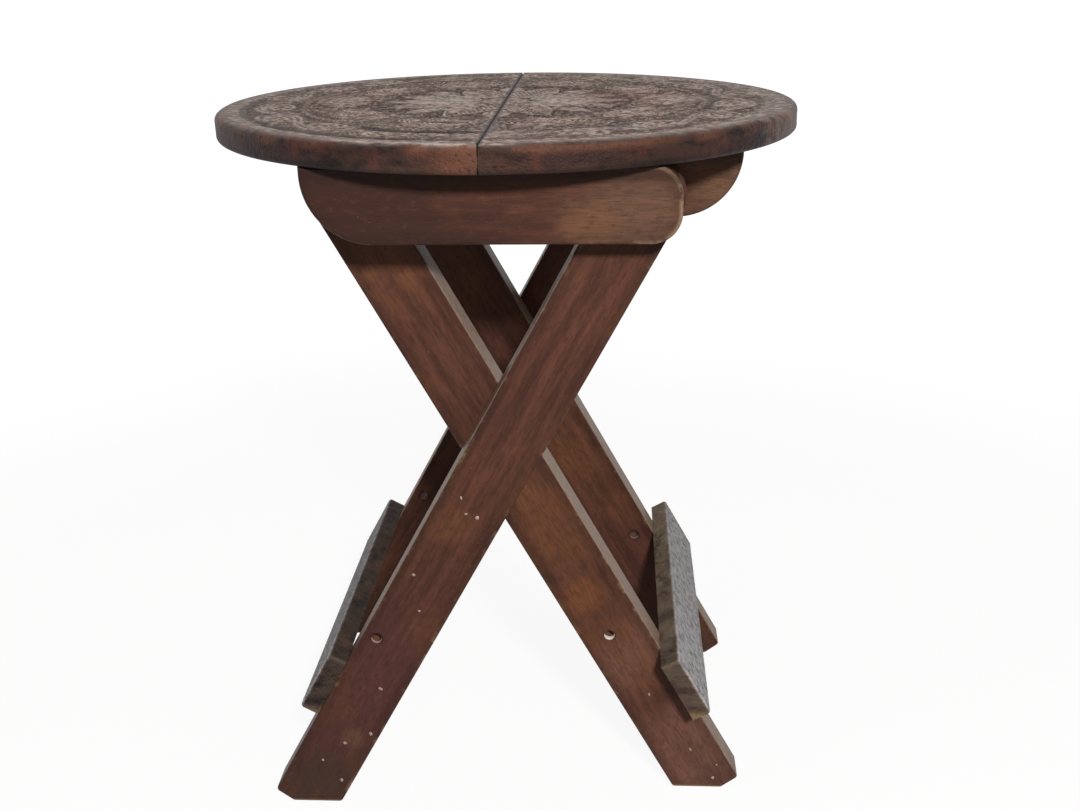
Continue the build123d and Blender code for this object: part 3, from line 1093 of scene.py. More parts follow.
        # Lines all round: radius, height and width
        for ring, rise, width in (
            (self.inner_ring - 2.6, -0.55, 1.7),
            (self.inner_ring, 0.3, 2.6),
            (self.inner_ring + 2.6, -0.55, 1.7),
            (self.bead_ring - 4.4, -0.55, 1.7),
            (self.bead_ring + 4.4, -0.6, 1.8),
            (self.rim_groove, -0.95, 5.0),
        ):
            height += rise * ridge(radius - ring, width)
        height *= 1.0 + 0.25 * wander(x, y, 17.0, 4.2)
        tired = smooth(0.25, 0.8, wander(x, y, 46.0, 1.9))
        height *= 1 - 0.3 * tired
        height += 0.14 * wander(x, y, 4.2, 0.9) + 0.12 * wander(y, x, 9.0, 3.9)
        pebble = np.sin(x * 2.3 + 1.7 * np.sin(y * 1.9)) * np.sin(y * 2.5 + 1.3 * np.sin(x * 2.1))
        height += pebble * (0.08 + 0.10 * bare) * (1 - 0.6 * to_rim)
        height *= smooth(184.5, 181.5, radius)
        return height, bare


@dataclass(frozen=True)
class Scar:
    """A long cut in the cover: its corners in the plane of the top, depth and width, in mm."""

    path: tuple[tuple[float, float], ...]
    depth: float
    width: float


@dataclass(frozen=True)
class RimLook:
    """What sets the rim of one half apart, in shares and in distances from the seam, in mm.

    The wear of the edge moves inwards between the two distances of inward. Within the edge the
    leather is smooth and light from smooth_from on, beyond a groove that holds dye or has lost it.
    """

    inward: tuple[float, float]
    smooth_from: float
    groove_dye: float
    groove_faded: float
    tan_patch: float
    thin_strip: float
    end_wear: float
    end: tuple[float, float]
    bulge: float
    scars: tuple[Scar, ...]
    spots: tuple[Stain, ...]


@dataclass(frozen=True)
class EdgeLoop:
    """One loop of the cover's edge: its place in mm, and how rubbed it is.

    The seam's straight edge lies at its own distance and height. The level is 1 at the top edge
    of the rim and 0 at the bottom.
    """

    radius: float
    from_middle: float
    rim_z: float
    seam_z: float
    swell: float = 0.0
    wear: float = 0.0
    level: float = 0.3


@dataclass
class HalfTop:
    """One half of the top: its leather cover, board, tacks and screws."""

    side: Side
    radius: float = 190.0
    top: float = 466.0
    underside: float = 449.0
    leather: float = 1.5
    gap: float = 0.3
    rim_rounding: float = 5.0
    foot_rounding: float = 3.5
    seam_rounding: float = 0.8
    seam_swell: float = 0.22
    lip: float = 25.0
    sunk: float = 0.35
    deepest: float = 1.0
    ring_step: float = 1.05
    spokes: int = 512
    rounding_steps: int = 5
    beads_a_half: int = 84
    bead_sunk: float = 0.62
    bead_gap: float = 0.02
    pattern: TooledPattern = field(default_factory=TooledPattern)
    leather_finish: TooledLeather = field(default_factory=TooledLeather)

    @property
    def body(self) -> str:
        """Body that the half rides on."""
        return f"{self.side.label}_half"

    @property
    def look(self) -> RimLook:
        """How the rim of this half looks."""
        return RIM_LOOKS[self.side]

    def ring(self, spokes: int) -> np.ndarray:
        """Angles of the points of one ring of the cover's grid."""
        return np.linspace(-math.pi / 2, math.pi / 2, spokes + 1)

    def pulled(self, angle: np.ndarray) -> np.ndarray:
        """How far the rim bulges past the circle, at angles from the X axis."""
        return self.look.bulge * np.exp(-((angle / 0.55) ** 2))

    def scars(self, x: np.ndarray, y: np.ndarray) -> np.ndarray:
        """Depth of the long cuts in the cover, in millimetres."""
        depth = np.zeros_like(x)
        for scar in self.look.scars:
            path = np.array(scar.path)
            away = np.full_like(x, np.inf)
            for start, line in zip(path, np.diff(path, axis=0)):
                along = (x - start[0]) * line[0] + (y - start[1]) * line[1]
                share = np.clip(along / (line @ line), 0, 1)
                beside = np.hypot(x - start[0] - share * line[0], y - start[1] - share * line[1])
                away = np.minimum(away, beside)
            ends = [np.hypot(x - point[0], y - point[1]) for point in (path[0], path[-1])]
            fading = 0.5 + 0.5 * smooth(0.0, 12.0, np.minimum(*ends))
            depth = np.maximum(depth, scar.depth * ridge(away, scar.width) * fading)
        return depth

    def flat_row(self, skin: Skin, radius: float, spokes: int, squeeze: float) -> np.ndarray:
        """Add one half ring of the flat part, with its tooling and wear.

        Args:
            skin: The skin that the cover is gathered in.
            radius: Distance from the middle, before the half is squeezed off the seam.
            spokes: Number of its steps; 0 for the point in the middle.
            squeeze: Share that X is brought down to, to leave room for the seam.

        Returns:
            The numbers of its points.
        """
        sign, look = self.side.value, self.look
        angle = self.ring(spokes) if spokes else np.zeros(1)
        spread = np.full(len(angle), radius)
        height, bare = self.pattern.height(spread, angle)
        from_seam = spread * np.cos(angle) * squeeze
        x = self.gap + self.seam_rounding + from_seam
        y = spread * np.sin(angle)
        to_seam = smooth(0.0, 2.2, from_seam)
        cut = self.scars(x * sign, y)
        height = height * to_seam - cut
        dyed = 0.8 * (1 - smooth(0.1, 1.1, from_seam))
        worn = smooth(0.1, 0.75, wander(x * sign, y, 30.0, 3.3)) * 0.45
        worn = np.maximum(worn, 0.6 * ridge(np.hypot(x - 36, y) / 34, 2.0))
        inward = smooth(*look.inward, x)
        crest = 2.0 * smooth(182.0, 183.6, spread) * (1 - 0.85 * inward)
        band = smooth(look.smooth_from, look.smooth_from + 3.5, spread)
        band = band * (1 - smooth(180.0, 184.0, spread)) * (0.35 + 0.30 * inward)
        worn = np.maximum(worn, np.maximum(crest, band)) * to_seam
        groove = look.groove_dye * ridge(spread - 170.0, 4.4)
        dark = np.maximum(groove, 0.6 * inward * smooth(181.0, 184.5, spread))
        faded = look.groove_faded * ridge(spread - 172.0, 5.0)
        pull = self.pulled(angle) * smooth(120.0, 185.0, spread)
        x, y = x + pull * np.cos(angle), y + pull * np.sin(angle)
        z = self.top - self.sunk + np.clip(height, -self.deepest, self.sunk)
        return skin.add(
            np.stack([x * sign, y, z], 1),
            relief=height - 1.2 * cut - dyed + faded,
            stipple=bare * to_seam,
            wear=worn * (1 - np.minimum(cut * 2, 1.0)),
            side=np.maximum(dark, 0.95 * smooth(0.05, 0.45, cut)),
        )

    def cover(self) -> bpy.types.Object:
        """Build the tooled leather, wrapped over the edges and turned under."""
        skin = Skin()
        flat_radius = self.radius - self.rim_rounding
        rings = round(flat_radius / self.ring_step)
        squeeze = (flat_radius - self.gap - self.seam_rounding) / flat_radius
        rows: list[np.ndarray] = []
        for index in range(rings + 1):
            radius = flat_radius * index / rings
            coarser = 1 if radius > 92 else 2 if radius > 44 else 4
            spokes = self.spokes // coarser if index else 0
            rows.append(self.flat_row(skin, radius, spokes, squeeze))
        for at in range(len(rows[1]) - 1):
            skin.faces.append((rows[0][0], rows[1][at], rows[1][at + 1]))
        for inner, outer in zip(rows[1:], rows[2:]):
            if len(inner) == len(outer):
                skin.bridge(inner, outer, closed=False)
            else:
                skin.widen(inner, outer)
        seam_up = [row[-1] for row in rows[-2:0:-1]]
        seam_down = [row[0] for row in rows[1:-1]]
        skin.last = np.array([*rows[-1], *seam_up, rows[0][0], *seam_down])
        edge = CoverEdge(self, len(rows[-1]), np.arange(rings - 1, 0, -1) / rings)
        for loop in self.loops():
            skin.carry_on(edge.points(loop), **edge.marks(loop))
        skin.cap()
        label = self.side.label
        material = self.leather_finish.dress(
            f"{label}_tooled_leather", self.side.value * 0.37, spots=self.look.spots
        )
        # The grid runs anticlockwise on the right half, and clockwise on the left one
        return skin.build(f"{label}_tooled_cover", material, self.side is Side.LEFT)

    def loops(self) -> list[EdgeLoop]:
        """Loops down the rim and the seam face, under the board and up round it."""
        loops: list[EdgeLoop] = []
        bottom, steps = self.underside, self.rounding_steps
        for step, wear in enumerate((2.0, 1.0, 0.2, 0.05, 0.0), 1):
            turn, share = math.pi / 2 * step / steps, step / steps
            back, down = 1 - math.sin(turn), 1 - math.cos(turn)
            loops.append(
                EdgeLoop(
                    self.radius - self.rim_rounding * back,
                    self.gap + self.seam_rounding * back,
                    self.top - self.sunk * (1 - share) - self.rim_rounding * down,
                    self.top - self.sunk - self.seam_rounding * down,
                    0.35 * share,
                    wear,
                    1 - 0.05 * step,
                )
            )
        swollen = self.gap - self.seam_swell
        for height in (self.top - 7.5, self.top - 10.0, bottom + 5.0):
            level = (height - bottom) / (self.top - bottom)
            loops.append(EdgeLoop(self.radius, swollen, height, height, 0.55, 0.08, level))
        for step in range(steps + 1):
            turn, left = math.pi / 2 * step / steps, 1 - step / steps
            back, up = 1 - math.cos(turn), 1 - math.sin(turn)
            loops.append(
                EdgeLoop(
                    self.radius - self.foot_rounding * back,
                    self.gap + self.seam_rounding * back,
                    bottom + self.foot_rounding * up,
                    bottom + self.seam_rounding * up,
                    0.4 * left,
                    0.15,
                    0.15 * left,
                )
            )
        for inset, seam_inset, height in (
            (self.foot_rounding + 8, 10, bottom),
            (self.lip - 0.3, self.lip - 0.3, bottom),
            (self.lip, self.lip, bottom + 0.3),
            (self.lip, self.lip, bottom + self.leather),
            (self.foot_rounding, self.leather + 2, bottom + self.leather),
            (self.leather, self.leather, bottom + self.foot_rounding),
            (self.leather, self.leather, self.top - self.rim_rounding),
            (self.rim_rounding, self.leather + 2, self.top - self.leather - 0.1),
        ):
            loops.append(EdgeLoop(self.radius - inset, self.gap + seam_inset, height, height))
        return loops

    def beads(self, stamps: RingOfStamps) -> bpy.types.Object:
        """Build the ring of small raised beads between the border and the arches."""
        profile = [(0, -0.5), (1.3, -0.5), (1.25, 0.1), (0.8, 0.32), (0, 0.4)]
        bead = bpy.data.objects.new("bead_stamp", lathe("bead_stamp", profile, 8))
        material = self.leather_finish.dress(f"{self.side.label}_bead_leather", 2.1, 0.36)
        piece = stamps.grow(
            f"{self.side.label}_bead_ring",
            bpy.data.meshes.new("bead_carrier"),
            {
                "Stamp": bead,
                "Count": self.beads_a_half,
                "Radius": self.pattern.bead_ring * MM,
                "Height": (self.top - self.bead_sunk) * MM,
                "First angle": self.bead_gap - math.pi / 2,
                "Last angle": math.pi / 2 - self.bead_gap,
                "Side": float(self.side.value),
                "Unevenness": 0.00018,
                "Seed": 11 + self.side.value,
                "Material": material,
            },
        )
        mark_all(piece.data, {"relief": 0.0, "stipple": 0.0, "wear": 0.2, "bare": 0.0})
        return piece

    def build(self, stamps: RingOfStamps) -> None:
        """Build and dress every piece of this half."""
        label = self.side.label
        settle(self.cover(), self.body, f"{label}_top_leather", f"{label}_top_leather")
        settle(self.beads(stamps), self.body, f"{label}_top_leather")
        middle = (self.side.value * 0.09, 0.0, (self.underside + self.top) / 2 * MM)
        board = Member(middle, math.pi / 2, self.radius * MM, 0.01, 0.09)
        plain = PlainWood(paint(120, 86, 56), paint(172, 132, 92))
        dress_node(f"{label}_top_board", plain.dress(f"{label}_board_wood", board, 0.4))
        dress_node(f"{label}_leather_tacks", TACK_STEEL.dress(f"{label}_tack_steel"))
        dress_node(f"{label}_bearer_screws", SCREW_STEEL.dress(f"{label}_screw_steel"))


class CoverEdge:
    """The line round one half's cover: along the rim, and back along the seam."""

    def __init__(self, half: HalfTop, rim_size: int, shares: np.ndarray) -> None:
        """Set out the line's points.

        Args:
            half: The half of the top.
            rim_size: Number of the line's points that lie on the rim.
            shares: Places of the seam's points, as shares of the way from the middle.
        """
        self.half, self.look, self.sign = half, half.look, half.side.value
        self.angle = half.ring(rim_size - 1)
        self.along_seam = np.concatenate([shares, [0.0], -shares[::-1]])
        self.corner = 1 - smooth(0.0, 0.05, 1 - np.abs(self.along_seam))
        nothing = np.zeros(len(self.along_seam))
        self.on_rim = np.concatenate([np.ones(rim_size), nothing])
        self.x = np.concatenate([np.cos(self.angle) * half.radius, nothing])
        self.y = np.concatenate([np.sin(self.angle), self.along_seam]) * half.radius
        self.inward = smooth(*self.look.inward, self.x)

    def points(self, loop: EdgeLoop) -> np.ndarray:
        """Points of one loop, with its rim and its seam at their own heights."""
        angle, inner = self.angle, loop.from_middle
        wobble = loop.swell * (wander(angle * 60, angle * 0 + loop.rim_z, 5.0, self.sign) - 1)
        reach = loop.radius + wobble * 0.5 + self.half.pulled(angle)
        rim_x = np.maximum(reach * np.cos(angle), inner)
        half_seam = math.sqrt(loop.radius**2 - inner**2)
        rim_y = np.clip(reach * np.sin(angle), -half_seam, half_seam)
        rim = np.stack([rim_x * self.sign, rim_y, np.full(len(angle), loop.rim_z)], 1)
        seam_x = np.full(len(self.along_seam), inner * self.sign)
        seam_z = loop.seam_z + (loop.rim_z - loop.seam_z) * self.corner
        return np.concatenate([rim, np.stack([seam_x, self.along_seam * half_seam, seam_z], 1)])

    def marks(self, loop: EdgeLoop) -> dict[str, np.ndarray]:
        """Values that the finish reads at one loop's points.

        Args:
            loop: The loop.

        Returns:
            How bare, rubbed, deep and smooth it is. The tan patch is at the front of the seam.
        """
        x, y, level = self.x, self.y, loop.level
        patch = self.look.tan_patch * smooth(40.0, 8.0, x) * smooth(-120.0, -170.0, y)
        strip = 0.8 * smooth(0.05, 0.6, wander(x * 2, y + 30 * level, 27.0, 5.0))
        strip = strip * smooth(0.62, 0.80, level) * smooth(1.0, 0.90, level)
        front = smooth(12.0, 22.0, x) * smooth(118.0, 92.0, x) * (y < 0)
        thin = smooth(0.71, 0.79, level) * smooth(0.91, 0.86, level)
        strip = np.maximum(strip, self.look.thin_strip * front * thin)
        worn = loop.wear * (0.8 + 0.2 * wander(x, y, 9.0, 2.4)) * (1 - 0.8 * self.inward)
        worn = np.maximum(worn, self.look.end_wear * smooth(*self.look.end, x))
        stained = smooth(-0.1, 0.55, wander(x + 40 * level, y, 33.0, 1.2)) * (1 - level)
        relief = 0.1 - 0.4 * smooth(0.97, 0.86, level) - 0.45 * stained - 0.1 * (1 - level)
        folded = np.maximum(smooth(0.98, 0.88, level), 0.8 * self.inward)
        return {
            "bare": np.maximum(patch, strip) * self.on_rim,
            "wear": worn * self.on_rim,
            "relief": np.where(self.on_rim > 0, relief + 0.25 * patch, -0.9),
            "side": np.where(self.on_rim > 0, folded, 1.0),
        }


def mark_all(mesh: bpy.types.Mesh, marks: dict[str, float]) -> None:
    """Give every point of a mesh the same values for its finish to read."""
    for name, value in marks.items():
        data = mesh.attributes.new(name, "FLOAT", "POINT").data
        data.foreach_set("value", np.full(len(mesh.vertices), value, np.float32))


def dress_node(node: str, material: bpy.types.Material) -> None:
    """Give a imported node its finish."""
    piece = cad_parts[node]
    piece.data.materials.clear()
    piece.data.materials.append(material)
    log.info("%s keeps its shape and takes %s", node, material.name)


@dataclass
class LegFrame:
    """A pair of legs with its stretcher: the outer frame or the inner one."""

    side: Side
    name: str
    near: float
    far: float
    slope: float = math.atan2(235.0, 426.0)
    pivot_x: float = 93.5
    pivot_z: float = 426.0
    half_leg: float = 22.25
    stretcher_width: float = 46.0
    stretcher_thickness: float = 13.5
    stretcher_half_length: float = 129.0
    stretcher_up_leg: float = 92.0
    rounding: float = 2.4
    leather: float = 1.5
    dents_across: float = 6.1
    dents_along: float = 9.4
    stitch_inset: float = 5.4
    stitch_pitch: float = 3.8
    hole_radius: float = 3.5
    warmth: float = 0.55
    dusty_from: tuple[float, float] = (-1.0, -1.0)
    grime: float = 1.0

    @property
    def body(self) -> str:
        """Body that the frame is."""
        return f"{self.name}_frame"

    def on_leg(self, down: float, across: float) -> tuple[float, float]:
        """X and Z of a point down a leg and across it, in millimetres."""
        sine, cosine = math.sin(self.slope), math.cos(self.slope)
        x = self.side.value * (sine * down + cosine * across - self.pivot_x)
        return x, self.pivot_z - cosine * down + sine * across

    def member(self, end: int) -> Member:
        """Where one leg lies."""
        long = self.pivot_z / math.cos(self.slope)
        x, z = self.on_leg(long / 2, 0.0)
        about = self.side.value * (math.pi / 2 - self.slope)
        y = end * (self.near + self.far) / 2
        half_thickness = (self.far - self.near) / 2
        return Member(
            (x * MM, y * MM, z * MM),
            about,
            (long / 2 + 40) * MM,
            half_thickness * MM,
            self.half_leg * MM,
        )

    def over_face(self, down: np.ndarray, y: np.ndarray, lift: np.ndarray) -> np.ndarray:
        """Points over the outer narrow faces of the legs, from the stretcher's middle."""
        middle = self.pivot_z / math.cos(self.slope) - self.stretcher_up_leg
        sine, cosine = math.sin(self.slope), math.cos(self.slope)
        far = self.half_leg + lift
        x = self.side.value * (sine * (middle + down) + cosine * far - self.pivot_x)
        z = self.pivot_z - cosine * (middle + down) + sine * far
        return np.stack([x, y, z], 1)

    def wrap(self) -> bpy.types.Object:
        """Build the leather of the stretcher: tooled face, folded sides, open to the legs."""
        skin = Skin()
        rounding, thickness = self.rounding, self.stretcher_thickness
        half_width = self.stretcher_width / 2 - rounding
        half_length = self.stretcher_half_length - rounding
        cells_across, cells_along = 26, 130
        a = np.linspace(-half_width, half_width, cells_across + 1)
        b = np.linspace(-half_length, half_length, cells_along + 1)
        across, along = (grid.ravel() for grid in np.meshgrid(a, b))
        height, bare = self.face_relief(across, along)
        grid = skin.add(
            self.over_face(across, along, thickness - 0.3 + np.minimum(height, 0.3)),
            relief=height,
            stipple=bare,
            wear=0.5 + 0.3 * wander(across, along, 9.0, 1.0),
        ).reshape(cells_along + 1, cells_across + 1)
        for row in range(cells_along):
            skin.bridge(grid[row], grid[row + 1], closed=False)
        loop = np.array([*grid[0, :], *grid[1:, -1], *grid[-1, -2::-1], *grid[-2:0:-1, 0]])
        skin.last, across, along = loop, across[loop], along[loop]
        from_corner = half_width - np.abs(across) + half_length - np.abs(along)
        corner = smooth(2.6, 0.8, from_corner)
        from_toe = np.hypot(across - half_width, along + half_length)
        grimy = smooth(30.0, -50.0, along) * (0.55 + 0.45 * wander(across, along, 8.0, 1.7))
        grimy = self.grime * np.maximum(grimy, 0.85 * smooth(1.0, 0.0, along + half_length))
        folded = -0.3 + 0.1 * wander(across, along, 11.0, 4.0) - 0.5 * grimy
        wavy = 0.25 * wander(across * 3, along, 6.0, 2.0)
        # Each loop: how far out of the face's flat part, and how far up from the legs
        loops = [
            (rounding * math.sin(turn), thickness - rounding * (1 - math.cos(turn)))
            for turn in np.linspace(math.pi / 8, math.pi / 2, 4)
        ]
        loops += [(rounding, 8.0), (rounding, 4.0), (rounding, 0.0)]
        inner = rounding - self.leather
        loops += [(inner, 0.0), (inner, thickness - self.leather)]
        for step, (out, level) in enumerate(loops, 1):
            seam = np.sign(across) * np.abs(wavy) if 2 < step < 7 else 0.0
            frayed = smooth(9.0, 1.0, from_toe + 1.6 * (7 - step))
            wear = {1: 0.9, 2: 0.7, 3: 0.4}.get(step, 0.06)
            skin.carry_on(
                self.over_face(
                    across * (half_width + out) / half_width - seam,
                    along * (half_length + out) / half_length,
                    np.full(len(across), level),
                ),
                relief=0.1 if step < 3 else folded,
                stipple=0.15,
                wear=np.maximum(wear, 0.22 * corner),
                bare=np.maximum(frayed, 0.25 * corner),
                side=0.0 if step < 2 else 0.6 if step == 2 else 1.0,
            )
        skin.cap()
        finish = STRETCHER_LEATHER[self.name]
        material = finish.dress(f"{self.name}_stretcher_tooled", self.side.value * 1.9, 0.5)
        return skin.build(f"{self.name}_stretcher_cover", material, self.side is Side.LEFT)

    def face_relief(self, across: np.ndarray, along: np.ndarray) -> tuple[np.ndarray, np.ndarray]:
        """Tooling of the stretcher's face: a border line round uneven rows of small dents."""
        half_width, half_length = self.stretcher_width / 2, self.stretcher_half_length
        edge = np.minimum(half_width - np.abs(across), half_length - np.abs(along))
        across = across + 1.5 * wander(across, along, 11.0, 2.6)
        along = along + 2.6 * wander(along, across, 13.0, 0.8)
        row = np.round(across / self.dents_across)
        rows = 0.5 + 0.5 * np.cos(across * 2 * math.pi / self.dents_across)
        bumps = 0.5 + 0.5 * np.cos(along * 2 * math.pi / self.dents_along + row * 2.2)
        dents = (rows * bumps) ** 2
        dents *= 0.25 + 0.75 * smooth(-0.5, 0.3, wander(across, along, 10.0, 6.1))
        field_part = smooth(4.6, 6.4, edge)
        height = 0.2 - field_part * 0.62 * dents
        height -= 0.3 * ridge(edge - 3.6, 1.6)
        height += 0.08 * wander(across, along, 3.0, 1.0)
        return height, field_part * (0.12 + 0.5 * dents)

    def stitches(self, rows: RowOfStitches) -> bpy.types.Object:
        """Build the lines of thread that hold the folded ends of the leather."""
        half = self.stretcher_width / 2 - 3.2
        y = self.stretcher_half_length - self.stitch_inset
        lift = np.full(4, self.stretcher_thickness - 0.25)
        points = self.over_face(
            np.array([-half, half, -half, half]), np.array([-y, -y, y, y]), lift
        )
        carrier = bpy.data.meshes.new("stitch_carrier")
        carrier.from_pydata([tuple(point * MM) for point in points], [(0, 1), (2, 3)], [])
        thread = bpy.data.objects.new("stitch_shape", stitch_mesh())
        material = Fleck(paint(150, 128, 96), paint(96, 76, 56)).dress(f"{self.name}_thread")
        pitch, seed = self.stitch_pitch * MM, 5 + self.side.value
        values = {"Stitch": thread, "Pitch": pitch, "Seed": seed, "Material": material}
        return rows.grow(f"{self.name}_stretcher_stitches", carrier, values)

    def flecks(self, scatter: ScatterOfFlecks) -> bpy.types.Object:
        """Build the spots of old white paint on the front leg."""
        places = [(x * MM, -self.far * MM, z * MM) for x, z in FLECKS[self.name]]
        carrier = bpy.data.meshes.new("fleck_carrier")
        carrier.from_pydata(places, [], [])
        shape = bpy.data.objects.new("fleck_shape", fleck_mesh())
        material = Fleck(paint(196, 174, 168), paint(138, 104, 98)).dress(f"{self.name}_flecks")
        values = {"Fleck": shape, "Seed": 3 + self.side.value, "Material": material}
        return scatter.grow(f"{self.name}_front_leg_flecks", carrier, values)

    def build(self, rows: RowOfStitches, scatter: ScatterOfFlecks, varnish: Varnish) -> None:
        """Build and dress every piece of this frame."""
        ends = ((-1, "front"), (1, "back"))
        for (end, label), bore, dust_and_sheen_above in zip(ends, BORES[self.name], self.dusty_from):
            x, z = self.on_leg(bore.down, bore.across)
            material = varnish.dress(
                f"{self.name}_{label}_leg_varnish",
                self.member(end),
                seed=0.31 * self.side.value + 0.83 * end + 1.7,
                warmth=self.warmth,
                hole=PegHole(x * MM, z * MM, self.hole_radius * MM, bore.pale, bore.pale_depth),
                foot=True,
                edge_wear=0.35,
                dust_and_sheen=0.75,
                dust_and_sheen_above=dust_and_sheen_above,
                stains=STAINS.get(f"{self.name}_{label}", ()),
            )
            dress_node(f"{self.name}_{label}_leg", material)
        cover = f"{self.name}_stretcher_leather"
        settle(self.wrap(), self.body, cover, cover)
        settle(self.stitches(rows), self.body, cover)
        settle(self.flecks(scatter), self.body, f"{self.name}_front_leg")
        slat = PlainWood(paint(112, 80, 54), paint(160, 122, 86))
        x, z = self.on_leg(390.0, 28.0)
        member = Member((x * MM, 0.0, z * MM), 0.0, 0.02, 0.13, 0.02)
        dress_node(f"{self.name}_stretcher_slat", slat.dress(f"{self.name}_slat_wood", member, 0.9))
        steel = SCREW_STEEL.dress(f"{self.name}_stretcher_steel")
        dress_node(f"{self.name}_stretcher_screws", steel)


@dataclass(frozen=True)
class Bore:
    """A peg hole down a leg and across it, in mm, and its pale wood, painted on the lower wall as
    light, and how deep, in metres.
    """

    down: float
    across: float
    pale: Colour
    pale_depth: float


# Each hole's pale colour is painted on the lower half of its wall as light falling into it
BORES: dict[str, tuple[Bore, Bore]] = {
    "outer": (
        Bore(345.0, 12.5, paint(168, 142, 138), 0.0026),
        Bore(345.0, 12.5, paint(70, 50, 42), 0.0010),
    ),
    "inner": (
        Bore(347.0, -3.5, paint(246, 238, 222), 0.0046),
        Bore(367.0, 7.5, paint(140, 116, 106), 0.0022),
    ),
}

STAINS: dict[str, tuple[Stain, ...]] = {
    "left_front_bearer": stains(
        (-85, 425, 110, 52, 32, 28, 0.85),
        (92, 422, 52, 112, 84, 66, 0.55),
        (60, 412, 20, 124, 84, 54, 0.35),
    ),
    "right_front_bearer": stains((140, 425, 40, 122, 94, 70, 0.5)),
    "outer_front": stains(
        (-85, 85, 105, 80, 47, 45, 0.80),
        (-128, 18, 30, 62, 45, 37, 0.8),
        (-104, 52, 12, 112, 84, 60, 0.5),
        (-30, 215, 22, 104, 66, 44, 0.6),
    ),
    "inner_front": stains(
        (40, 200, 40, 112, 70, 42, 0.45),
        (52, 150, 22, 128, 78, 42, 0.60),
        (85, 105, 40, 118, 81, 66, 0.75),
        (132, 30, 56, 124, 84, 71, 0.85),
    ),
}

FLECKS: dict[str, list[tuple[float, float]]] = {
    "outer": [
        (-23.5, 233.2), (-20.7, 222.0), (-13.7, 219.3), (-56.7, 178.1), (-54.3, 151.6),
        (-83.3, 91.8), (-92.2, 56.0), (-110.5, 48.4), (-126.8, 34.3), (-114.9, 18.1),
    ],
    "inner": [(98.5, 75.1), (146.5, 18.8), (144.0, 8.0), (128.0, 31.0)],
}

# The stretchers' tooled faces are pale grey: the leather's own colour, and partly a painted sheen
# where the faces look up to the lamps and the white surroundings
INNER_STRETCHER_LEATHER = TooledLeather(
    hollow=paint(118, 110, 111),
    ground=paint(168, 163, 165),
    raised=paint(203, 199, 203),
    mauve=paint(186, 180, 188),
    olive=paint(182, 178, 172),
    rubbed=paint(208, 205, 204),
    tan=paint(132, 106, 72),
    side_deep=paint(58, 41, 34),
    side_body=paint(124, 107, 89),
    side_warm=paint(142, 128, 105),
    specular=0.06,
    sheen=0.0,
)

STRETCHER_LEATHER: dict[str, TooledLeather] = {
    "inner": INNER_STRETCHER_LEATHER,
    "outer": replace(
        INNER_STRETCHER_LEATHER,
        tan=paint(104, 84, 62),
        side_deep=paint(28, 20, 16),
        side_body=paint(58, 45, 36),
        side_warm=paint(82, 60, 48),
    ),
}

RIM_LOOKS: dict[Side, RimLook] = {
    Side.LEFT: RimLook(
        inward=(55.0, 105.0),
        smooth_from=171.5,
        groove_dye=0.6,
        groove_faded=0.0,
        tan_patch=1.0,
        thin_strip=0.0,
        end_wear=0.12,
        end=(168.0, 182.0),
        bulge=0.0,
        scars=(
            Scar(
                (
                    (-73.0, -114.0), (-66.0, -128.5), (-48.8, -136.6), (-30.6, -139.8),
                    (-8.0, -141.8),
                ),
                1.0,
                7.5,
            ),
            Scar(((-43.0, -98.4), (-30.0, -100.5), (-17.0, -101.6)), 0.6, 5.0),
        ),
        spots=stains(
            (-34, 0, 46, 166, 154, 146, 0.45),
            (-116, 20, 34, 150, 132, 122, 0.35),
            (-80, -110, 60, 120, 106, 88, 0.30),
            (-70, 165, 50, 96, 88, 64, 0.45),
            (-130, 110, 40, 124, 102, 104, 0.40),
            (-165, 0, 34, 84, 68, 58, 0.50),
            (-120, -130, 40, 84, 66, 56, 0.45),
        ),
    ),
    Side.RIGHT: RimLook(
        inward=(0.0, 30.0),
        smooth_from=167.0,
        groove_dye=0.0,
        groove_faded=0.8,
        tan_patch=0.2,
        thin_strip=0.7,
        end_wear=0.62,
        end=(158.0, 165.0),
        bulge=2.8,
        scars=(Scar(((3.0, -103.0), (22.0, -101.0)), 0.5, 3.6),),
        spots=stains(
            (36, 0, 34, 160, 150, 144, 0.45),
            (82, 20, 50, 122, 86, 74, 0.45),
            (126, 10, 26, 158, 150, 144, 0.40),
            (60, 165, 50, 92, 84, 60, 0.40),
            (120, 130, 40, 124, 104, 108, 0.35),
            (168, 20, 30, 92, 76, 66, 0.45),
        ),
    ),
}


def stitch_mesh() -> bpy.types.Mesh:
    """A short thread lying along X, closed, 2.6 mm long."""
    mesh = lathe(
        "stitch_shape", [(0, -1.3), (0.3, -1.15), (0.42, 0.0), (0.3, 1.15), (0, 1.3)], 6
    )
    mesh.transform(Matrix.Rotation(math.pi / 2, 4, "Y"))
    return mesh


def fleck_mesh() -> bpy.types.Mesh:
    """A thin spot of paint facing -Y, about 2.3 mm across, sunk a little in the face."""
    mesh = lathe("fleck_shape", [(0, -0.2), (0.85, -0.2), (1.15, 0.01), (0.7, 0.1), (0, 0.12)], 9)
    mesh.transform(Matrix.Rotation(math.pi / 2, 4, "X"))
    return mesh


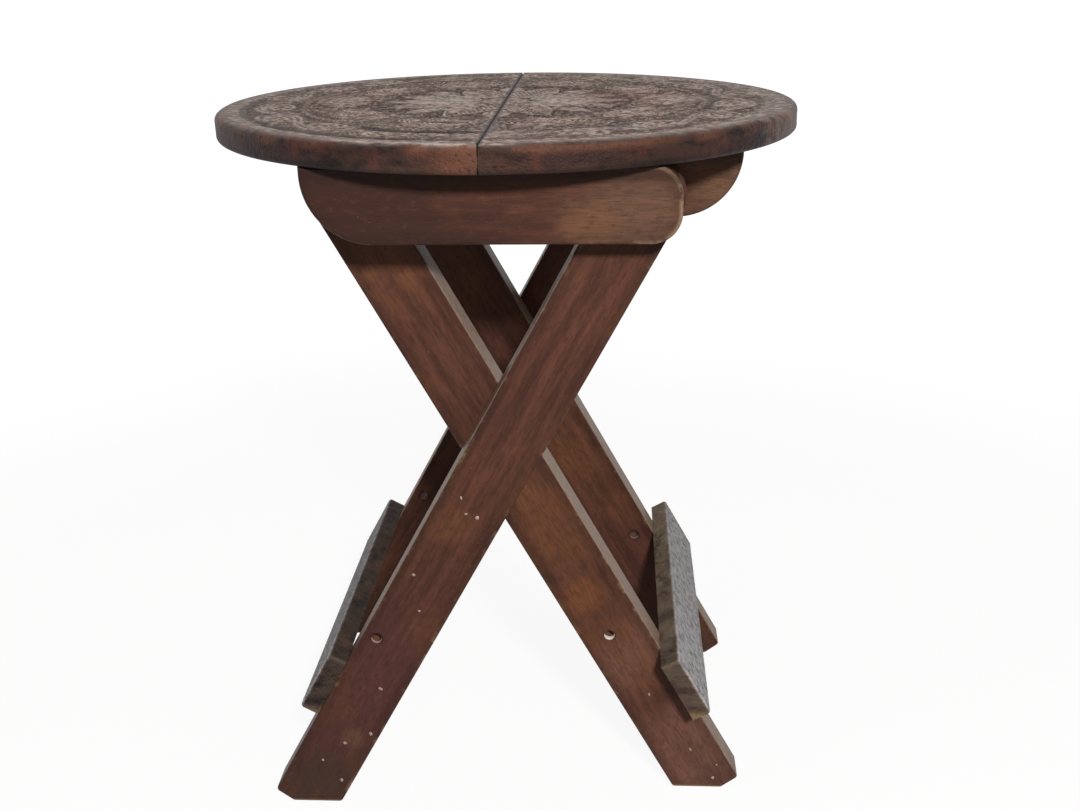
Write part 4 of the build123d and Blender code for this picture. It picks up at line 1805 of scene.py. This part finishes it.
@dataclass
class Bearers:
    """The two planks under one half of the top."""

    side: Side
    near: float
    far: float
    heel_x: float
    nose_x: float = 112.5
    bottom: float = 403.0
    top: float = 449.0
    nose_radius: float = 18.0
    heel_radius: float = 41.0
    warmth: float = 0.4

    def build(self, varnish: Varnish) -> None:
        """Dress the front and the back plank."""
        x = -self.side.value * (self.nose_x - self.heel_x) / 2
        z = (self.bottom + self.top) / 2
        for end, label in ((-1, "front"), (1, "back")):
            y = end * (self.near + self.far) / 2
            member = Member(
                (x * MM, y * MM, z * MM),
                math.pi if self.side is Side.RIGHT else 0.0,
                (self.heel_x + self.nose_x) / 2 * MM,
                (self.far - self.near) / 2 * MM,
                (self.top - self.bottom) / 2 * MM,
                self.nose_radius * MM,
                self.heel_radius * MM,
            )
            name = f"{self.side.label}_{label}_bearer"
            material = varnish.dress(
                f"{name}_varnish",
                member,
                seed=3.1 + 0.57 * self.side.value + 0.29 * end,
                warmth=self.warmth,
                edge_wear=0.75,
                stains=STAINS.get(name, ()),
            )
            dress_node(name, material)


class Pivots:
    """The dowels and washers that the stool turns on."""

    names = ("crossing", "left_top", "right_top")

    def build(self) -> None:
        """Dress them all."""
        dowel = PlainWood(paint(150, 112, 74), paint(196, 156, 112))
        lying = Member((0.0, 0.0, 0.0), 0.0, 0.1, 0.01, 0.01)
        for name in self.names:
            dress_node(f"{name}_dowels", dowel.dress(f"{name}_dowel_wood", lying, 0.2))
            dress_node(f"{name}_washers", WASHER_STEEL.dress(f"{name}_washer_steel"))


@dataclass
class Studio:
    """Pale floor, soft light and the photograph's camera."""

    focal_pixels: float = 1321.9
    frame_width: float = 1080.0
    eye: Point = (0.07395, -0.89744, 0.57409)
    yaw: float = -0.0599
    pitch: float = -0.3462
    roll: float = -0.0167
    floor_reach: float = 14.0
    floor_tone: Colour = (0.38, 0.37, 0.36, 1.0)
    white: Colour = (1.0, 1.0, 1.0, 1.0)
    glow: float = 1.16
    fill: float = 0.08

    def camera(self) -> None:
        """Set the camera at the photograph's angle."""
        flat = math.cos(self.pitch)
        ahead = Vector((math.sin(self.yaw) * flat, math.cos(self.yaw) * flat, math.sin(self.pitch)))
        level = ahead.cross(Vector((0, 0, 1))).normalized()
        upright = level.cross(ahead)
        right = level * math.cos(self.roll) + upright * math.sin(self.roll)
        up = upright * math.cos(self.roll) - level * math.sin(self.roll)
        data = bpy.data.cameras.new("photograph")
        data.sensor_fit = "HORIZONTAL"
        data.sensor_width = 36.0
        data.lens = self.focal_pixels * 36.0 / self.frame_width
        data.clip_start, data.clip_end = 0.01, 100.0
        camera = place("photograph", data)
        matrix = Matrix((right, up, -ahead)).transposed().to_4x4()
        matrix.translation = Vector(self.eye)
        camera.matrix_world = matrix
        bpy.context.scene.camera = camera

    def lamp(self, name: str, at: Point, aim: Point, size: float, power: float) -> None:
        """Add one square soft lamp that faces a point."""
        data = bpy.data.lights.new(name, "AREA")
        data.shape = "SQUARE"
        data.size = size
        data.energy = power
        lamp = place(name, data)
        lamp.location = at
        lamp.rotation_euler = (Vector(aim) - Vector(at)).to_track_quat("-Z", "Y").to_euler()

    def white_to_view(self, graph: Graph) -> Wire:
        """1 for what the camera sees, straight or in metal and glass, and 0 for other light."""
        path = graph.node("ShaderNodeLightPath", output="Is Camera Ray")
        return path.most(path.part("Is Glossy Ray")).most(path.part("Is Transmission Ray"))

    def floor(self) -> None:
        """Lay a pale floor that shows white but keeps the shadow."""
        mesh = bpy.data.meshes.new("floor")
        far = self.floor_reach
        corners = [(-far, -far, 0), (far, -far, 0), (far, far, 0), (-far, far, 0)]
        mesh.from_pydata(corners, [], [(0, 1, 2, 3)])
        floor = place("floor", mesh)
        material = bpy.data.materials.new("pale_floor")
        material.use_nodes = True
        graph = Graph(material.node_tree)
        graph.tree.nodes.clear()
        matt = graph.node("ShaderNodeBsdfDiffuse", None, {"Color": self.floor_tone})
        light = {"Color": self.white, "Strength": self.glow}
        glow = graph.node("ShaderNodeEmission", None, light)
        where = graph.node("ShaderNodeTexCoord", output="Object")
        away = graph.node("ShaderNodeVectorMath", {"operation": "LENGTH"}, {0: where}, "Value")
        share = self.white_to_view(graph) * (0.80 + 0.12 * away.rise(0.5, 1.6))
        both = graph.node("ShaderNodeMixShader", None, {0: share, 1: matt, 2: glow})
        graph.node("ShaderNodeOutputMaterial", None, {0: both})
        mesh.materials.append(material)

    def sky(self) -> None:
        """Light all round at a plain level, white where it is seen."""
        world = bpy.data.worlds.new("studio")
        world.use_nodes = True
        graph = Graph(world.node_tree)
        graph.tree.nodes.clear()
        strength = self.fill + self.white_to_view(graph) * (1 - self.fill)
        light = {"Color": self.white, "Strength": strength}
        back = graph.node("ShaderNodeBackground", None, light)
        graph.node("ShaderNodeOutputWorld", None, {0: back})
        bpy.context.scene.world = world

    def build(self) -> None:
        """Set up the whole studio."""
        bpy.context.scene.view_settings.view_transform = "Standard"
        self.camera()
        self.floor()
        self.sky()
        self.lamp("key", (0.36, -1.50, 1.12), (0.0, 0.0, 0.25), 0.16, 30.0)
        self.lamp("top", (-0.2, -0.1, 2.1), (0.0, 0.0, 0.4), 1.2, 9.0)


def main() -> None:
    """Build the stool piece by piece."""
    logging.basicConfig(level=logging.INFO, format="%(name)s: %(message)s")
    Studio().build()
    stamps, rows, scatter = RingOfStamps(), RowOfStitches(), ScatterOfFlecks()
    varnish = Varnish()
    for side in Side:
        HalfTop(side).build(stamps)
    for legs in (
        LegFrame(Side.LEFT, "outer", 105.5, 129.0, dusty_from=(0.118, -1.0), grime=0.15),
        LegFrame(Side.RIGHT, "inner", 80.5, 104.0, warmth=0.7),
    ):
        legs.build(rows, scatter, varnish)
    Bearers(Side.LEFT, 130.5, 155.0, 106.9).build(varnish)
    Bearers(Side.RIGHT, 54.5, 79.0, 152.8, warmth=0.3).build(varnish)
    Pivots().build()


if __name__ == "__main__":
    main()
